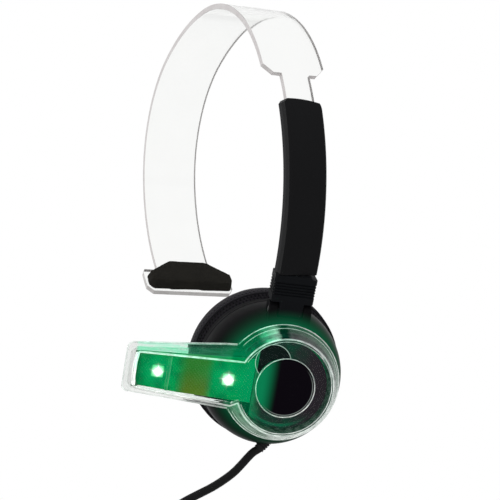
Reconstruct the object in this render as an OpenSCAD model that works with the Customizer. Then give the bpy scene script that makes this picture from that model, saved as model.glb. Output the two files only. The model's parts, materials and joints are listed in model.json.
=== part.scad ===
// Single-sided voice headset: clear headband, sliding stem, swivelling ear cup
// and a clear, lit microphone boom that turns about the cup.
// X points to the wearer's left, -Y to the front, Z up.
// The origin is where the top of the head meets the inside of the strip.

/* [Headband] */
// Width of the clear strip
strip_w = 31; // [24:0.5:36]
// Thickness of the clear strip
strip_t = 2.6; // [2:0.1:3.2]
// Inner radius of the strip over the crown
crown_r = 111; // [104:1:118]
// Inner radius where the strip turns down at each side
turn_r = 66.5; // [62:0.5:70]
// Inner radius of the strip on the ear side
side_r = 109; // [104:1:116]
// Inner radius of the strip on the temple side, which curls in more
far_r = 84; // [78:1:110]
// Angle from the top at which the crown arc ends
crown_deg = 12.9; // [10:0.1:16]
// Angle from the top at which the side arc starts
turn_deg = 78; // [75:0.5:81]
// Length of the full-width strip on the ear side, past the turn
shoulder_len = 9.1; // [6:0.1:12]
// Slope of the cut shoulders, across and along the strip
shoulder_cut = [4.5, 4.3]; // [3:0.1:6]
// Width of the tongue that slides in the stem
tongue_w = 14; // [11:0.5:16]
// Length of the tongue
tongue_len = 64; // [56:1:68]
// Number of detent holes in the tongue
detents = 6; // [3:1:8]
// Radius of a detent hole
detent_r = 1.1; // [0.7:0.1:1.5]
// Distance between detent holes
detent_pitch = 5; // [4:0.5:6]

/* [Temple rest] */
// Width of the clear foot across the temple
foot_w = 49; // [42:1:56]
// Height of the clear foot
foot_h = 17; // [14:0.5:20]
// Length of plain strip from the turn to the foot
foot_from_turn = 54; // [48:1:58]
// Turn of the foot and pad in their own plane, front end up
foot_turn = 3.3; // [0:0.1:5]
// Corner cut of the foot
foot_cut = 3; // [1:0.5:5]
// Width and height of the foam pad
pad_size = [47.4, 18.6]; // [14:0.2:52]
// Width of the pad's top edge
pad_top_w = 21; // [16:1:28]
// Height of the pad's sloping upper corners
pad_slope_h = 9; // [5:0.2:11]
// Thickness of the foam pad
pad_t = 6; // [4:0.5:8]
// Slope of the pad's sides over its thickness
pad_draft = 1; // [0.4:0.1:2]
// Thickness of the adhesive sheet
tape_t = 0.4; // [0.2:0.1:0.8]
// Height by which the pad stands above the foot
pad_rise = 2.4; // [2:0.2:5]

/* [Stem] */
// Length of plain strip and tongue from the turn to the stem
stem_from_turn = 23.8; // [21:0.2:30]
// Length of the stem
stem_len = 75.5; // [72:0.5:84]
// Width of the stem
stem_w = 18.6; // [17.6:0.2:24]
// Thickness of the stem's outer cover beyond the tongue
cover_t = 2.3; // [1.8:0.1:3]
// Thickness of the stem's inner cover
liner_t = 1.1; // [0.8:0.1:1.6]
// Play around the tongue
tongue_play = 0.3; // [0.3:0.05:0.5]
// Closed length at the lower end of the stem
stem_foot = 10; // [9:0.5:12]
// Cut on the stem's upper corners
stem_corner = 1.2; // [0.6:0.2:3]
// Rise of the stem's arched top edge
stem_arch = 0.8; // [0.4:0.1:1.5]
// Bevel along the stem's outer edges
stem_bevel = 0.8; // [0.3:0.1:1.5]

/* [Neck] */
// Turn of the cup towards the front about the stem
swivel_rest = 16; // [0:1:25]
// Backward tilt of the cup against the stem
tilt_rest = 11; // [0:0.5:16]
// Distance from the stem's end to the tilt pin
neck_drop = 18.5; // [16.5:0.5:21]
// Width of the neck
neck_w = 19.4; // [18.4:0.2:23]
// Thickness of the neck
neck_t = 8.8; // [8:0.2:10]
// Gap between the stem and the neck
neck_gap = 0.5; // [0.3:0.1:1]
// Radius of the swivel pin
swivel_pin_r = 1.8; // [1.4:0.1:2]
// Radius of the tilt pin
tilt_pin_r = 1.5; // [1.2:0.1:1.8]
// Number of grip grooves round the neck
grooves = 5; // [2:1:6]
// Distance between grip grooves
groove_pitch = 1.35; // [1.2:0.05:1.5]
// Width and depth of a grip groove
groove_size = [0.6, 0.6]; // [0.3:0.05:0.8]
// Width of the knuckle that the tilt pin passes through
knuckle_w = 11; // [9:0.5:13]

/* [Ear cup] */
// Distance from the tilt pin to the axis of the cup and of the boom's hub
cup_drop = 31.7; // [30:0.1:36]
// Distance of the cup's axis in front of the hub's axis
cup_forward = 1.9; // [0:0.1:4]
// Radius of the cup housing at its rim
housing_r = 33.3; // [32:0.1:38]
// Radius of the housing's flat outer face
housing_face_r = 26; // [22:0.5:28]
// Depth of the housing
housing_depth = 23.3; // [20:0.1:26]
// Depth of the straight rim of the housing
housing_rim = 4.5; // [3:0.5:7]
// Wall of the housing
housing_wall = 2; // [1.6:0.1:2.6]
// Distance from the tilt pin's plane to the housing's outer face
face_out = 5; // [4.8:0.1:6]
// Thickness of the baffle plate
baffle_t = 2; // [1.6:0.1:3]
// Thickness of the cushion's mounting ring
ring_t = 1.2; // [1:0.1:2]
// Outer radius of the ear cushion
cushion_r = 36.7; // [35:0.1:42]
// Radius of the cushion's opening
cushion_hole_r = 18.5; // [15:0.5:22]
// Thickness of the ear cushion
cushion_t = 17.5; // [14:0.5:22]
// Radius of the loudspeaker
speaker_r = 19; // [16:0.5:20]

/* [Boom] */
// Radius of the clear hub at its back
hub_r = 26.7; // [25:0.1:29]
// Radius of the clear hub's front face
hub_face_r = 22.1; // [21:0.1:24]
// Thickness of the hub and arm
boom_t = 10; // [9:0.5:12]
// Gap between the housing and the boom
boom_gap = 1.7; // [1.5:0.1:2.5]
// Distance from the hub's centre to the tip of the arm
boom_reach = 70; // [60:1:90]
// Lift of the arm above level at rest
boom_rest = 1.4; // [0:0.1:5]
// Half widths of the arm's back at the hub and at the tip
arm_half = [13.8, 10.8]; // [9:0.1:16]
// Slope of the arm's sides over its thickness
arm_draft = 4.2; // [2:0.1:5]
// Wall of the clear shells
shell_wall = 1.7; // [1.4:0.1:2.2]
// Thickness of the back shell
back_t = 2.6; // [2.2:0.1:3.2]
// Radius of the centre cap
cap_r = 13; // [11:0.1:14]
// Radius of the pivot shaft
shaft_r = 5; // [4:0.1:6]
// Distance from the hub's centre to each lamp
lamp_at = [25, 56.5]; // [22:0.5:62]

/* [Cord] */
// Diameter of the cord
cord_d = 3.8; // [3:0.1:4.5]
// Turns in the stowed coil
coil_turns = 7.5; // [5.5:1:9.5]
// Radius of the coil's outermost turn
coil_r = 28; // [26:0.5:34]
// Clear space between neighbouring turns
coil_space = 0.5; // [0.5:0.05:0.8]
// Radius of the plug's contact
contact_r = 1.25; // [1:0.05:1.75]
// Length of the plug's contact
contact_len = 11; // [10:0.5:14]
// Radius of the plug's grip
plug_r = 3.6; // [3:0.1:4.5]

/* [Hidden] */
$fn = 64;
eps = 0.01;
run = 0.3;                       // gap between parts that move past each other
fit = 0.1;                       // gap round a pin in its own part

// ---- headband arcs, as [X, Z] centres of the inner radii
function out(deg) = [sin(deg), cos(deg)];
function side_deg(len) = turn_deg + len / side_r * 180 / PI;
crown_c = [0, -crown_r];
turn_c = crown_c + (crown_r - turn_r) * out(crown_deg);
side_c = turn_c + (turn_r - side_r) * out(turn_deg);
far_c = turn_c + (turn_r - far_r) * out(turn_deg);
function far_deg(len) = turn_deg + len / far_r * 180 / PI;

// ---- stem and neck
tongue_end = shoulder_len + tongue_len;
stem_end = stem_from_turn + stem_len;
stem_in = -tongue_play - liner_t;
stem_out = strip_t + tongue_play + cover_t;
seam = strip_t / 2;              // where the stem's covers meet
axis_out = (stem_in + stem_out) / 2;
channel_w = tongue_w + 2 * tongue_play;
spring_w = 6;
spring_t = 0.3;
spring_span = [48, 66];          // along the stem's arc from the turn
pin_head = [2.5, 1.5];           // radius and thickness of the swivel pin's heads
pin_up = 7.5;                    // swivel pin above and below the stem's end
pin_down = 8;
stem_screw_at = [60, stem_end - 14];
knuckle_r = neck_t / 2;
ear_gap = 0.4;                   // between the knuckle and the cup's ears
neck_low = neck_drop - knuckle_r - 0.7;
slit = [2.6, 0.8];               // notch at the neck's upper back corner

// ---- cup, along the cup's axis from the tilt pin's plane, outwards positive
rim_x = face_out - housing_depth;
baffle_x = rim_x - baffle_t;
ring_x = baffle_x - ring_t;
cloth_t = 0.3;
cushion_x = ring_x - cloth_t - 0.2;
boss_r = 3.2;
boss_len = 11;
boss_at = housing_r - housing_wall - boss_r + 0.7;
screw_r = 1.1;
saddle_h = 9.5;                  // height of the ears' block below the tilt pin
speaker_depth = 6;
magnet_r = 11;
magnet_t = 5.5;

// ---- boom, along the same axis
boom_x = face_out + boom_gap;
split_x = boom_x + back_t;
front_x = boom_x + boom_t;
hub_slope = (hub_r - hub_face_r) / boom_t;
tip_slope = 0.37;                // slope of the arm's end face
arm_root = 12;                   // where the arm's outline starts, inside the hub
floor_t = 1.2;                   // floor of the back shell
board_x = split_x + 0.2;
board_t = 1.2;
board_end = boom_reach - 5.5;
core_r = hub_face_r - shell_wall - 0.4;
core_t = 2;
cap_x = front_x - 3.2;
cap_dome = 0.9;
shaft_x = board_x + core_t + 1.6;
clip_t = 0.7;
lamp_size = 5;
lamp_t = 1.6;
rib_at = 51.5;                   // clear rib across the arm's window
mic_r = 3;

// ---- cord gland, in the cup's frame, pointing down and forward
gland_at = [-3.3, 1.4, -30];
gland_deg = 31.5;
gland_len = 5.5;
gland_in = 4;                    // length inside the housing
gland_r = 3;

// ---- cord: the free stretch, then the stowed coil, then the lead to the plug
floor_z = -320;
coil_lift = 0.7;                 // the tie's thickness, under the coil
coil_c = [16, -106];
coil_z = floor_z + coil_lift + cord_d / 2;
pitch = cord_d + coil_space;
coil_rings = 24;
cord_route = [
    [6.47, -4.2, -215.73], [4.88, -5.84, -217.68], [2.86, -8.42, -219.79], [-1.2, -15.8, -225.9],
    [-4.3, -20.8, -229.3], [-7.4, -26, -232], [-10.2, -31.6, -234.2], [-12.4, -37.2, -236.4],
    [-13.8, -43, -239.2], [-14.6, -48.6, -243], [-15, -53.6, -248.2], [-15, -57.6, -255],
    [-15, -60.6, -262.6], [-15, -63, -270.8], [-15, -65.2, -279], [-14.8, -67.6, -287.2],
    [-14.4, -70.6, -295.2], [-13.8, -75, -302.6], [-13, -81, -309.2], [-12.3, -88.6, -314.8],
    [coil_c.x - coil_r, coil_c.y + 2 * cord_d, coil_z],
    [coil_c.x - coil_r, coil_c.y + cord_d, coil_z]];
plug_y = -60;
plug_x = 45.5;
plug_z = floor_z + plug_r;
tail_route = [
    [coil_c.x + coil_r, coil_c.y + cord_d, coil_z + pitch],
    [coil_c.x + coil_r, coil_c.y + 2 * cord_d, coil_z + pitch],
    [44.2, -91, -313.9], [44.6, -84, -315.2], [45.2, -76.6, -316.2],
    [plug_x, plug_y - 2 * cord_d, plug_z], [plug_x, plug_y, plug_z]];

// ---- frames
// X outwards from the strip's inner face, Z up along the strip, at an angle on the side arc
module at_side(deg)
    translate([side_c.x + side_r * sin(deg), 0, side_c.y + side_r * cos(deg)])
        rotate([0, deg - 90, 0])
            children();

// the same on the temple side
module at_far(len)
    mirror([1, 0, 0])
        translate([far_c.x + far_r * sin(far_deg(len)), 0, far_c.y + far_r * cos(far_deg(len))])
            rotate([0, far_deg(len) - 90, 0])
                children();

module at_stem_end()
    at_side(side_deg(stem_end))
        translate([axis_out, 0, 0])
            children();

module at_neck()
    at_stem_end()
        rotate([0, 0, -swivel_rest])
            children();

// origin on the tilt pin, X parallel to the cup's axis
module at_tilt()
    at_neck()
        translate([0, 0, -neck_drop])
            rotate([0, -tilt_rest, 0])
                children();

module at_cup()
    at_tilt()
        translate([0, -cup_forward, -cup_drop])
            children();

module at_hub()
    at_tilt()
        translate([0, 0, -cup_drop])
            children();

module at_boom()
    at_hub()
        rotate([-boom_rest, 0, 0])
            children();

// ---- shapes
// a bar bent round the Y axis, its profile in [radius, Y]
module bent(deg0, deg1)
    rotate([90, 0, 0])
        rotate_extrude(angle = deg1 - deg0, start = 90 - deg1, $fn = 180)
            children();

// where the side arc starts, with the turn's centre as origin and Z through the start
module at_turn_end()
    translate([turn_c.x, 0, turn_c.y])
        rotate([0, turn_deg, 0])
            children();

module side_bar(len0, len1)
    at_turn_end()
        translate([0, 0, turn_r - side_r])
            bent(side_deg(len0) - turn_deg, side_deg(len1) - turn_deg)
                children();

// profile of a bent bar between two offsets from the inner radius
module band(r, off0, off1, w)
    translate([r + off0, -w / 2])
        square([off1 - off0, w]);

// points along the strip's arcs, an offset outwards from the inner face
function crown_points(off) = concat(
    [for (i = [0:5]) crown_c + (crown_r + off) * out(crown_deg * i / 6)],
    [for (i = [0:39]) turn_c + (turn_r + off) * out(crown_deg + (turn_deg - crown_deg) * i / 40)]);
function side_points(off, len0, len1, n) =
    [for (i = [0:n]) side_c + (side_r + off) * out(side_deg(len0 + (len1 - len0) * i / n))];
function far_points(off, len0, len1, n) =
    [for (i = [0:n]) far_c + (far_r + off) * out(far_deg(len0 + (len1 - len0) * i / n))];
function flip(p) = [for (i = [len(p) - 1:-1:1]) [-p[i].x, p[i].y]];
function back(p) = [for (i = [len(p) - 1:-1:0]) p[i]];
function ear_end(off) = concat(crown_points(off), side_points(off, 0, shoulder_len, 4));
function foot(off) = far_points(off, foot_from_turn - 2, foot_from_turn + foot_h + 2, 10);
function foot_end(off) =
    concat(crown_points(off), far_points(off, 0, foot_from_turn - 5, 20), foot(off));
function tongue(off) = concat(
    side_points(off, 0, shoulder_len, 4), side_points(off, shoulder_len + 2, tongue_end, 26));

// a plate between an inner and an outer line of points in the XZ plane
module slab(inner, outer, w)
    rotate([90, 0, 0])
        linear_extrude(w, center = true)
            polygon(concat(inner, back(outer)));

// a body turned about the cup's axis, its profile in [radius, X]
module turned(points)
    rotate([0, 90, 0])
        rotate_extrude()
            polygon(points);

module tube_x(x0, x1, outer_r, inner_r)
    turned([[inner_r, x0], [outer_r, x0], [outer_r, x1], [inner_r, x1]]);

module disc_x(x0, x1, r)
    translate([x0, 0, 0])
        rotate([0, 90, 0])
            cylinder(r = r, h = x1 - x0);

module pin_y(r, w)
    rotate([90, 0, 0])
        cylinder(r = r, h = w, center = true);

// a plate in the YZ plane
module plate_x(x0, x1)
    translate([x0, 0, 0])
        rotate([90, 0, 90])
            linear_extrude(x1 - x0)
                children();

module round_copies(n, first = 0)
    for (i = [0:n - 1])
        rotate([first + i * 360 / n, 0, 0])
            children();

function bowl(r0, x0, r1, x1, n = 14) =
    [for (i = [0:n]) [r1 + (r0 - r1) * cos(90 * i / n), x0 + (x1 - x0) * sin(90 * i / n)]];

// ---- a tube swept through points
function unit(v) = v / norm(v);
function tangent(p, i) = unit(p[min(i + 1, len(p) - 1)] - p[max(i - 1, 0)]);
function ring(p, i, r, sides, side) =
    let (t = tangent(p, i), u = unit(cross(t, side)), v = cross(t, u))
    [for (k = [0:sides - 1]) p[i] + r * (u * cos(360 * k / sides) + v * sin(360 * k / sides))];

module sweep(p, r, sides, side) {
    n = len(p);
    points = [for (i = [0:n - 1]) each ring(p, i, r, sides, side)];
    walls = [for (i = [0:n - 2], k = [0:sides - 1], half = [0, 1])
        let (a = i * sides + k, b = i * sides + (k + 1) % sides)
        half == 0 ? [a, b + sides, b] : [a, a + sides, b + sides]];
    end = (n - 1) * sides;
    caps = [for (k = [1:sides - 2]) each [[0, k, k + 1], [end, end + k + 1, end + k]]];
    polyhedron(points, concat(walls, caps));
}

// ---- headband
module foot_outline()
    rotate(-foot_turn)
        polygon([
            [-foot_w / 2 + 1, foot_h / 2], [foot_w / 2 - 1, foot_h / 2],
            [foot_w / 2, foot_h / 2 - 2], [foot_w / 2, -foot_h / 2 + 1.4 * foot_cut],
            [foot_w / 2 - foot_cut, -foot_h / 2], [-foot_w / 2 + foot_cut, -foot_h / 2],
            [-foot_w / 2, -foot_h / 2 + 1.4 * foot_cut], [-foot_w / 2, foot_h / 2 - 2]]);

module shoulder_cutter()
    at_side(side_deg(shoulder_len))
        for (s = [-1, 1])
            plate_x(-4, 8)
                polygon([
                    [s * (strip_w / 2 - shoulder_cut.x), -0.6],
                    [s * (strip_w / 2 + 1), -0.6],
                    [s * (strip_w / 2 + 1), shoulder_cut.y * (1 + 1 / shoulder_cut.x)],
                    [s * (strip_w / 2 - shoulder_cut.x), 0]]);

// what is outside the foot's outline, from just above the foot down
module foot_cutter()
    at_far(foot_from_turn + foot_h / 2)
        plate_x(-10, 10)
            difference() {
                translate([-foot_w, -foot_h])
                    square([2 * foot_w, 1.8 * foot_h]);
                foot_outline();
                translate([-strip_w / 2, 0])
                    square([strip_w, foot_h]);
            }

module headband_strip()
    color([0.93, 0.94, 0.95, 0.5])
        difference() {
            union() {
                slab(
                    concat(flip(foot_end(0)), ear_end(0)),
                    concat(flip(foot_end(strip_t)), ear_end(strip_t)), strip_w);
                slab(tongue(0), tongue(strip_t), tongue_w);
                mirror([1, 0, 0])
                    slab(foot(0), foot(strip_t), foot_w + 4);
            }
            foot_cutter();
            shoulder_cutter();
            for (i = [0:detents - 1])
                at_side(side_deg(tongue_end - 4 - i * detent_pitch))
                    disc_x(-1, strip_t + 1, detent_r);
        }

module pad_outline(inset) {
    w = pad_size.x / 2 - inset;
    top = pad_size.y / 2 - inset;
    polygon([
        [-w + 2, -top], [w - 2, -top], [w, -top + 3], [w, top - pad_slope_h],
        [pad_top_w / 2, top], [-pad_top_w / 2, top], [-w, top - pad_slope_h], [-w, -top + 3]]);
}

module at_pad()
    at_far(foot_from_turn - pad_rise + pad_size.y / 2)
        rotate([-foot_turn, 0, 0])
            children();

// the space between two offsets from the strip's inner face on the temple side
module far_layer(off0, off1)
    mirror([1, 0, 0])
        translate([far_c.x, 0, far_c.y])
            bent(far_deg(foot_from_turn - 20), far_deg(foot_from_turn + foot_h + 20))
                band(far_r, off0, off1, foot_w + 10);

module temple_pad()
    color([0.10, 0.10, 0.09])
        intersection() {
            at_pad()
                hull() {
                    plate_x(-1, 1)
                        pad_outline(0);
                    plate_x(-tape_t - pad_t, -tape_t - pad_t + 0.6)
                        pad_outline(pad_draft);
                }
            far_layer(-pad_t - 4, -tape_t);
        }

module pad_adhesive()
    color([0.75, 0.75, 0.72])
        intersection() {
            at_pad()
                plate_x(-8, 8)
                    pad_outline(1.5);
            far_layer(-tape_t, -0.03);
        }

// ---- stem
module stem_profile_out()
    polygon([
        [side_r + seam, -stem_w / 2], [side_r + stem_out - stem_bevel, -stem_w / 2],
        [side_r + stem_out, -stem_w / 2 + stem_bevel], [side_r + stem_out, stem_w / 2 - stem_bevel],
        [side_r + stem_out - stem_bevel, stem_w / 2], [side_r + seam, stem_w / 2]]);

module channel()
    side_bar(stem_from_turn - 5, stem_end - stem_foot)
        band(side_r, -tongue_play, strip_t + tongue_play, channel_w);

module spring_pocket()
    side_bar(spring_span[0] - 1, spring_span[1] + 1)
        band(side_r, strip_t, strip_t + tongue_play + spring_t + 0.3, spring_w + 0.6);

// what is above the stem's arched top edge, which rises to the front and to the inside
module stem_top_cutter() {
    w = stem_w / 2;
    low = -stem_corner - stem_arch - 0.5;
    arch = [for (y = [-w + stem_corner:(w - stem_corner) / 6:w - stem_corner + eps])
        [y, -stem_arch * pow(y / w, 2)]];
    at_side(side_deg(stem_from_turn))
        translate([stem_out, 0, 0.6])
            rotate([-4.5, 14, 0])
                plate_x(-16, 6)
                    polygon(concat([[-w - 2, 6], [-w - 2, low], [-w - 0.02, low]], arch,
                        [[w + 0.02, low], [w + 2, low], [w + 2, 6]]));
}

// room for the swivel pin in the stem's foot
module pin_seat()
    at_stem_end() {
        translate([0, 0, -1])
            cylinder(r = swivel_pin_r + fit, h = pin_up);
        translate([0, 0, pin_up - pin_head.y - fit])
            cylinder(r = pin_head.x + fit, h = pin_head.y + 2 * fit);
    }

module stem_screw_seats(r, depth)
    for (len = stem_screw_at)
        at_side(side_deg(len))
            for (s = [-1, 1])
                translate([0, s * (stem_w / 2 - 0.9), 0])
                    disc_x(stem_in - eps, depth, r);

module stem_outer_cover()
    color([0.12, 0.12, 0.13])
        difference() {
            side_bar(stem_from_turn - 3, stem_end)
                stem_profile_out();
            channel();
            spring_pocket();
            stem_top_cutter();
            pin_seat();
            stem_screw_seats(0.45, seam + 1.6);
        }

module stem_inner_cover()
    color([0.16, 0.16, 0.17])
        difference() {
            side_bar(stem_from_turn - 3, stem_end)
                band(side_r, stem_in, seam - 0.02, stem_w);
            channel();
            stem_top_cutter();
            pin_seat();
            stem_screw_seats(0.45, seam + 1.6);
        }

module detent_spring()
    color([0.75, 0.76, 0.78])
        side_bar(spring_span[0], spring_span[1])
            band(side_r, strip_t + tongue_play + 0.2, strip_t + tongue_play + 0.2 + spring_t, spring_w);

module stem_screws()
    color([0.6, 0.6, 0.62])
        stem_screw_seats(0.45 - fit / 2, seam + 1.5);

module swivel_pin()
    color([0.7, 0.7, 0.72])
        at_stem_end() {
            translate([0, 0, -pin_down])
                cylinder(r = swivel_pin_r, h = pin_up + pin_down);
            translate([0, 0, pin_up - pin_head.y])
                cylinder(r = pin_head.x, h = pin_head.y);
            translate([0, 0, -pin_down])
                cylinder(r = pin_head.x, h = pin_head.y);
        }

// ---- neck
neck_split = -tilt_pin_r - 0.9;
neck_bevel = 0.9;

module neck_outline()
    polygon([
        [-neck_t / 2, -neck_w / 2], [neck_t / 2 - neck_bevel, -neck_w / 2],
        [neck_t / 2, -neck_w / 2 + neck_bevel], [neck_t / 2, neck_w / 2 - neck_bevel],
        [neck_t / 2 - neck_bevel, neck_w / 2], [-neck_t / 2, neck_w / 2]]);

module neck_groove()
    linear_extrude(groove_size.x, center = true)
        difference() {
            square([neck_t + 4, neck_w + 4], center = true);
            square([neck_t - 2 * groove_size.y, neck_w - 2 * groove_size.y], center = true);
        }

module neck_body()
    difference() {
        union() {
            translate([0, 0, -neck_low])
                linear_extrude(neck_low - neck_gap)
                    neck_outline();
            translate([-neck_t / 2, -knuckle_w / 2, -neck_drop])
                cube([neck_t, knuckle_w, neck_drop - neck_low + eps]);
            translate([0, 0, -neck_drop])
                pin_y(knuckle_r, knuckle_w);
        }
        for (i = [0:grooves - 1])
            translate([0, 0, -neck_gap - 3.8 - i * groove_pitch])
                neck_groove();
        translate([-neck_t, neck_w / 2 - slit.x, -neck_gap - slit.y])
            cube([2 * neck_t, slit.x + 1, slit.y + 1]);
        // bore and head pocket of the swivel pin
        translate([0, 0, -pin_down - run])
            cylinder(r = swivel_pin_r + run, h = pin_down + 2);
        translate([0, 0, -pin_down - run])
            cylinder(r = pin_head.x + run, h = pin_head.y + 2 * run);
        translate([0, 0, -neck_drop])
            pin_y(tilt_pin_r + fit / 2, neck_w);
    }

module neck_half_space(front)
    translate([front ? neck_split : neck_split - 20, -neck_w, -neck_drop - 10])
        cube([20, 2 * neck_w, neck_drop + 12]);

module neck_block()
    color([0.10, 0.10, 0.12])
        at_neck()
            difference() {
                intersection() {
                    neck_body();
                    neck_half_space(true);
                }
                // slots through which the pin and its head go in from the back
                for (slot = [[swivel_pin_r + fit, pin_down + 2], [pin_head.x + fit, pin_head.y + 2 * run]])
                    translate([neck_split - 1, -slot[0], -pin_down - run])
                        cube([1 - neck_split, 2 * slot[0], slot[1]]);
            }

module neck_back_cover()
    color([0.12, 0.12, 0.13])
        at_neck()
            intersection() {
                neck_body();
                neck_half_space(false);
            }

module tilt_pin()
    color([0.7, 0.7, 0.72])
        at_neck()
            translate([0, 0, -neck_drop])
                pin_y(tilt_pin_r, neck_w - 0.6);

// ---- ear cup
function housing_profile(wall) = concat(
    [[0, rim_x - (wall > 0 ? 1 : 0)], [housing_r - wall, rim_x - (wall > 0 ? 1 : 0)]],
    bowl(housing_r - wall, rim_x + housing_rim, housing_face_r - wall, face_out - wall),
    [[0, face_out - wall]]);

module ears()
    difference() {
        union() {
            translate([-knuckle_r, -neck_w / 2, -saddle_h])
                cube([2 * knuckle_r, neck_w, saddle_h]);
            pin_y(knuckle_r, neck_w);
        }
        pin_y(knuckle_r + 0.7, knuckle_w + 2 * ear_gap);
        translate([-neck_t, -knuckle_w / 2 - ear_gap, 0])
            cube([2 * neck_t, knuckle_w + 2 * ear_gap, 2 * knuckle_r]);
    }

module gland_frame()
    translate(gland_at)
        rotate([-gland_deg, 0, 0])
            mirror([0, 0, 1])
                children();

module cup_housing()
    color([0.09, 0.10, 0.10])
        difference() {
            union() {
                at_cup()
                    difference() {
                        turned(housing_profile(0));
                        turned(housing_profile(housing_wall));
                    }
                at_cup()
                    round_copies(3, 30)
                        translate([0, 0, boss_at])
                            disc_x(rim_x + 0.4, rim_x + boss_len, boss_r);
                at_tilt()
                    ears();
            }
            // clearance round the knuckle and the pin, kept open through the housing's edge
            at_tilt() {
                pin_y(knuckle_r + 0.7, knuckle_w + 2 * ear_gap);
                pin_y(tilt_pin_r + run, neck_w + 2);
            }
            at_cup()
                round_copies(3, 30)
                    translate([0, 0, boss_at])
                        disc_x(rim_x - 1, rim_x + 8, screw_r - fit);
            at_hub()
                disc_x(face_out - housing_wall - 1, face_out + 1, shaft_r + fit / 2);
            at_cup()
                gland_frame()
                    union() {
                        translate([0, 0, -gland_in - 1])
                            cylinder(r = gland_r + fit / 2, h = 20);
                        translate([0, 0, -gland_in - 3])
                            cylinder(r = gland_r + 1 + fit, h = 3);
                    }
        }

module baffle_plate()
    color([0.14, 0.14, 0.15])
        at_cup()
            difference() {
                tube_x(baffle_x, rim_x, housing_r - 0.3, speaker_r - 3);
                round_copies(3, 30)
                    translate([0, 0, boss_at])
                        disc_x(baffle_x - 1, rim_x + 1, screw_r + fit);
            }

module speaker_frame()
    color([0.2, 0.2, 0.21])
        at_cup()
            turned([
                [speaker_r - 2, rim_x], [speaker_r, rim_x], [speaker_r, rim_x + 1.4],
                [magnet_r + 2.5, rim_x + speaker_depth], [magnet_r - 4, rim_x + speaker_depth],
                [magnet_r - 4, rim_x + speaker_depth - 1], [magnet_r + 2, rim_x + speaker_depth - 1],
                [speaker_r - 2, rim_x + 1]]);

module speaker_magnet()
    color([0.35, 0.35, 0.37])
        at_cup()
            tube_x(rim_x + speaker_depth, rim_x + speaker_depth + magnet_t, magnet_r, 2);

module speaker_cone()
    color([0.25, 0.24, 0.22])
        at_cup()
            turned([
                [0, rim_x + 2.6], [4, rim_x + 3.2], [speaker_r - 4.4, rim_x + 0.9],
                [speaker_r - 3.2, rim_x + 0.9], [speaker_r - 2.03, rim_x + 0.4],
                [speaker_r - 2.03, rim_x], [speaker_r - 3.2, rim_x + 0.5],
                [speaker_r - 4.4, rim_x + 0.5], [4, rim_x + 2.8], [0, rim_x + 2.2]]);

module cushion_ring()
    color([0.12, 0.12, 0.13])
        at_cup()
            difference() {
                tube_x(ring_x, baffle_x, housing_r - 1.2, cushion_hole_r + 1.5);
                round_copies(3, 30)
                    translate([0, 0, boss_at])
                        disc_x(ring_x - 1, baffle_x + 1, screw_r + 1.1);
            }

module grille_cloth()
    color([0.13, 0.13, 0.14])
        at_cup()
            disc_x(ring_x - cloth_t, ring_x, cushion_hole_r + 4);

// crowned towards the ear, drawn in towards the cup, flat where it meets the ring
module ear_cushion() {
    mid_r = (cushion_r + cushion_hole_r) / 2;
    half_r = (cushion_r - cushion_hole_r) / 2;
    steps = 28;
    profile = [for (i = [0:steps - 1])
        let (t = 360 * i / steps, c = cos(t), s = sin(t))
        [mid_r + half_r * sign(c) * pow(abs(c), 0.8) * (s > 0 ? 1 - 0.16 * s * s : 1),
         cushion_x - cushion_t * (0.42 - 0.58 * sign(s) * pow(abs(s), 0.75) * (s > 0 ? 0.724 : 1))]];
    color([0.13, 0.13, 0.15])
        at_cup()
            turned(profile);
}

module baffle_screws()
    color([0.6, 0.6, 0.62])
        at_cup()
            round_copies(3, 30)
                translate([0, 0, boss_at]) {
                    disc_x(baffle_x, rim_x + 7, screw_r - 2 * fit);
                    disc_x(baffle_x - 0.8, baffle_x, screw_r + 0.8);
                }

module cord_gland()
    color([0.07, 0.07, 0.08])
        at_cup()
            gland_frame()
                difference() {
                    union() {
                        translate([0, 0, -gland_in])
                            cylinder(r = gland_r, h = gland_in + gland_len);
                        translate([0, 0, -gland_in - 1.2])
                            cylinder(r = gland_r + 1, h = 1.2);
                    }
                    translate([0, 0, -gland_in - 2])
                        cylinder(r = cord_d / 2 + fit, h = gland_in + gland_len + 3);
                }

module pivot_shaft()
    color([0.65, 0.66, 0.68])
        at_hub() {
            disc_x(face_out - housing_wall - 2, shaft_x, shaft_r);
            disc_x(face_out - housing_wall - 2, face_out - housing_wall, shaft_r + 3);
        }

module pivot_clip()
    color([0.5, 0.5, 0.52])
        at_hub()
            tube_x(shaft_x - 0.4 - clip_t, shaft_x - 0.4, shaft_r + 2, shaft_r);

module friction_washer()
    color([0.85, 0.85, 0.82])
        at_hub()
            tube_x(face_out, boom_x - run, shaft_r + 5, shaft_r + fit);

// ---- boom
// outline of hub and arm at one depth, drawn in by an inset
module boom_outline(x, inset) {
    drop = (x - boom_x) / boom_t;
    w0 = arm_half[0] - drop * (arm_draft + 0.8) - inset;
    w1 = arm_half[1] - drop * arm_draft + 0.4 * drop - inset;
    tip = boom_reach - drop * tip_slope * boom_t - inset;
    polygon([[-arm_root, w0 + 0.5], [-tip + 2, w1], [-tip, w1 - 2], [-tip, -w1 + 2], [-tip + 2, -w1],
        [-arm_root, -w0 - 0.5]]);
}

module arm_solid(x0, x1, inset)
    hull() {
        plate_x(x0, x0 + eps)
            boom_outline(x0, inset);
        plate_x(x1 - eps, x1)
            boom_outline(x1, inset);
    }

function hub_at(x) = hub_r - hub_slope * (x - boom_x);

module hub_solid(x0, x1, inset)
    turned([[0, x0], [hub_at(x0) - inset, x0], [hub_at(x1) - inset, x1], [0, x1]]);

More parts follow.
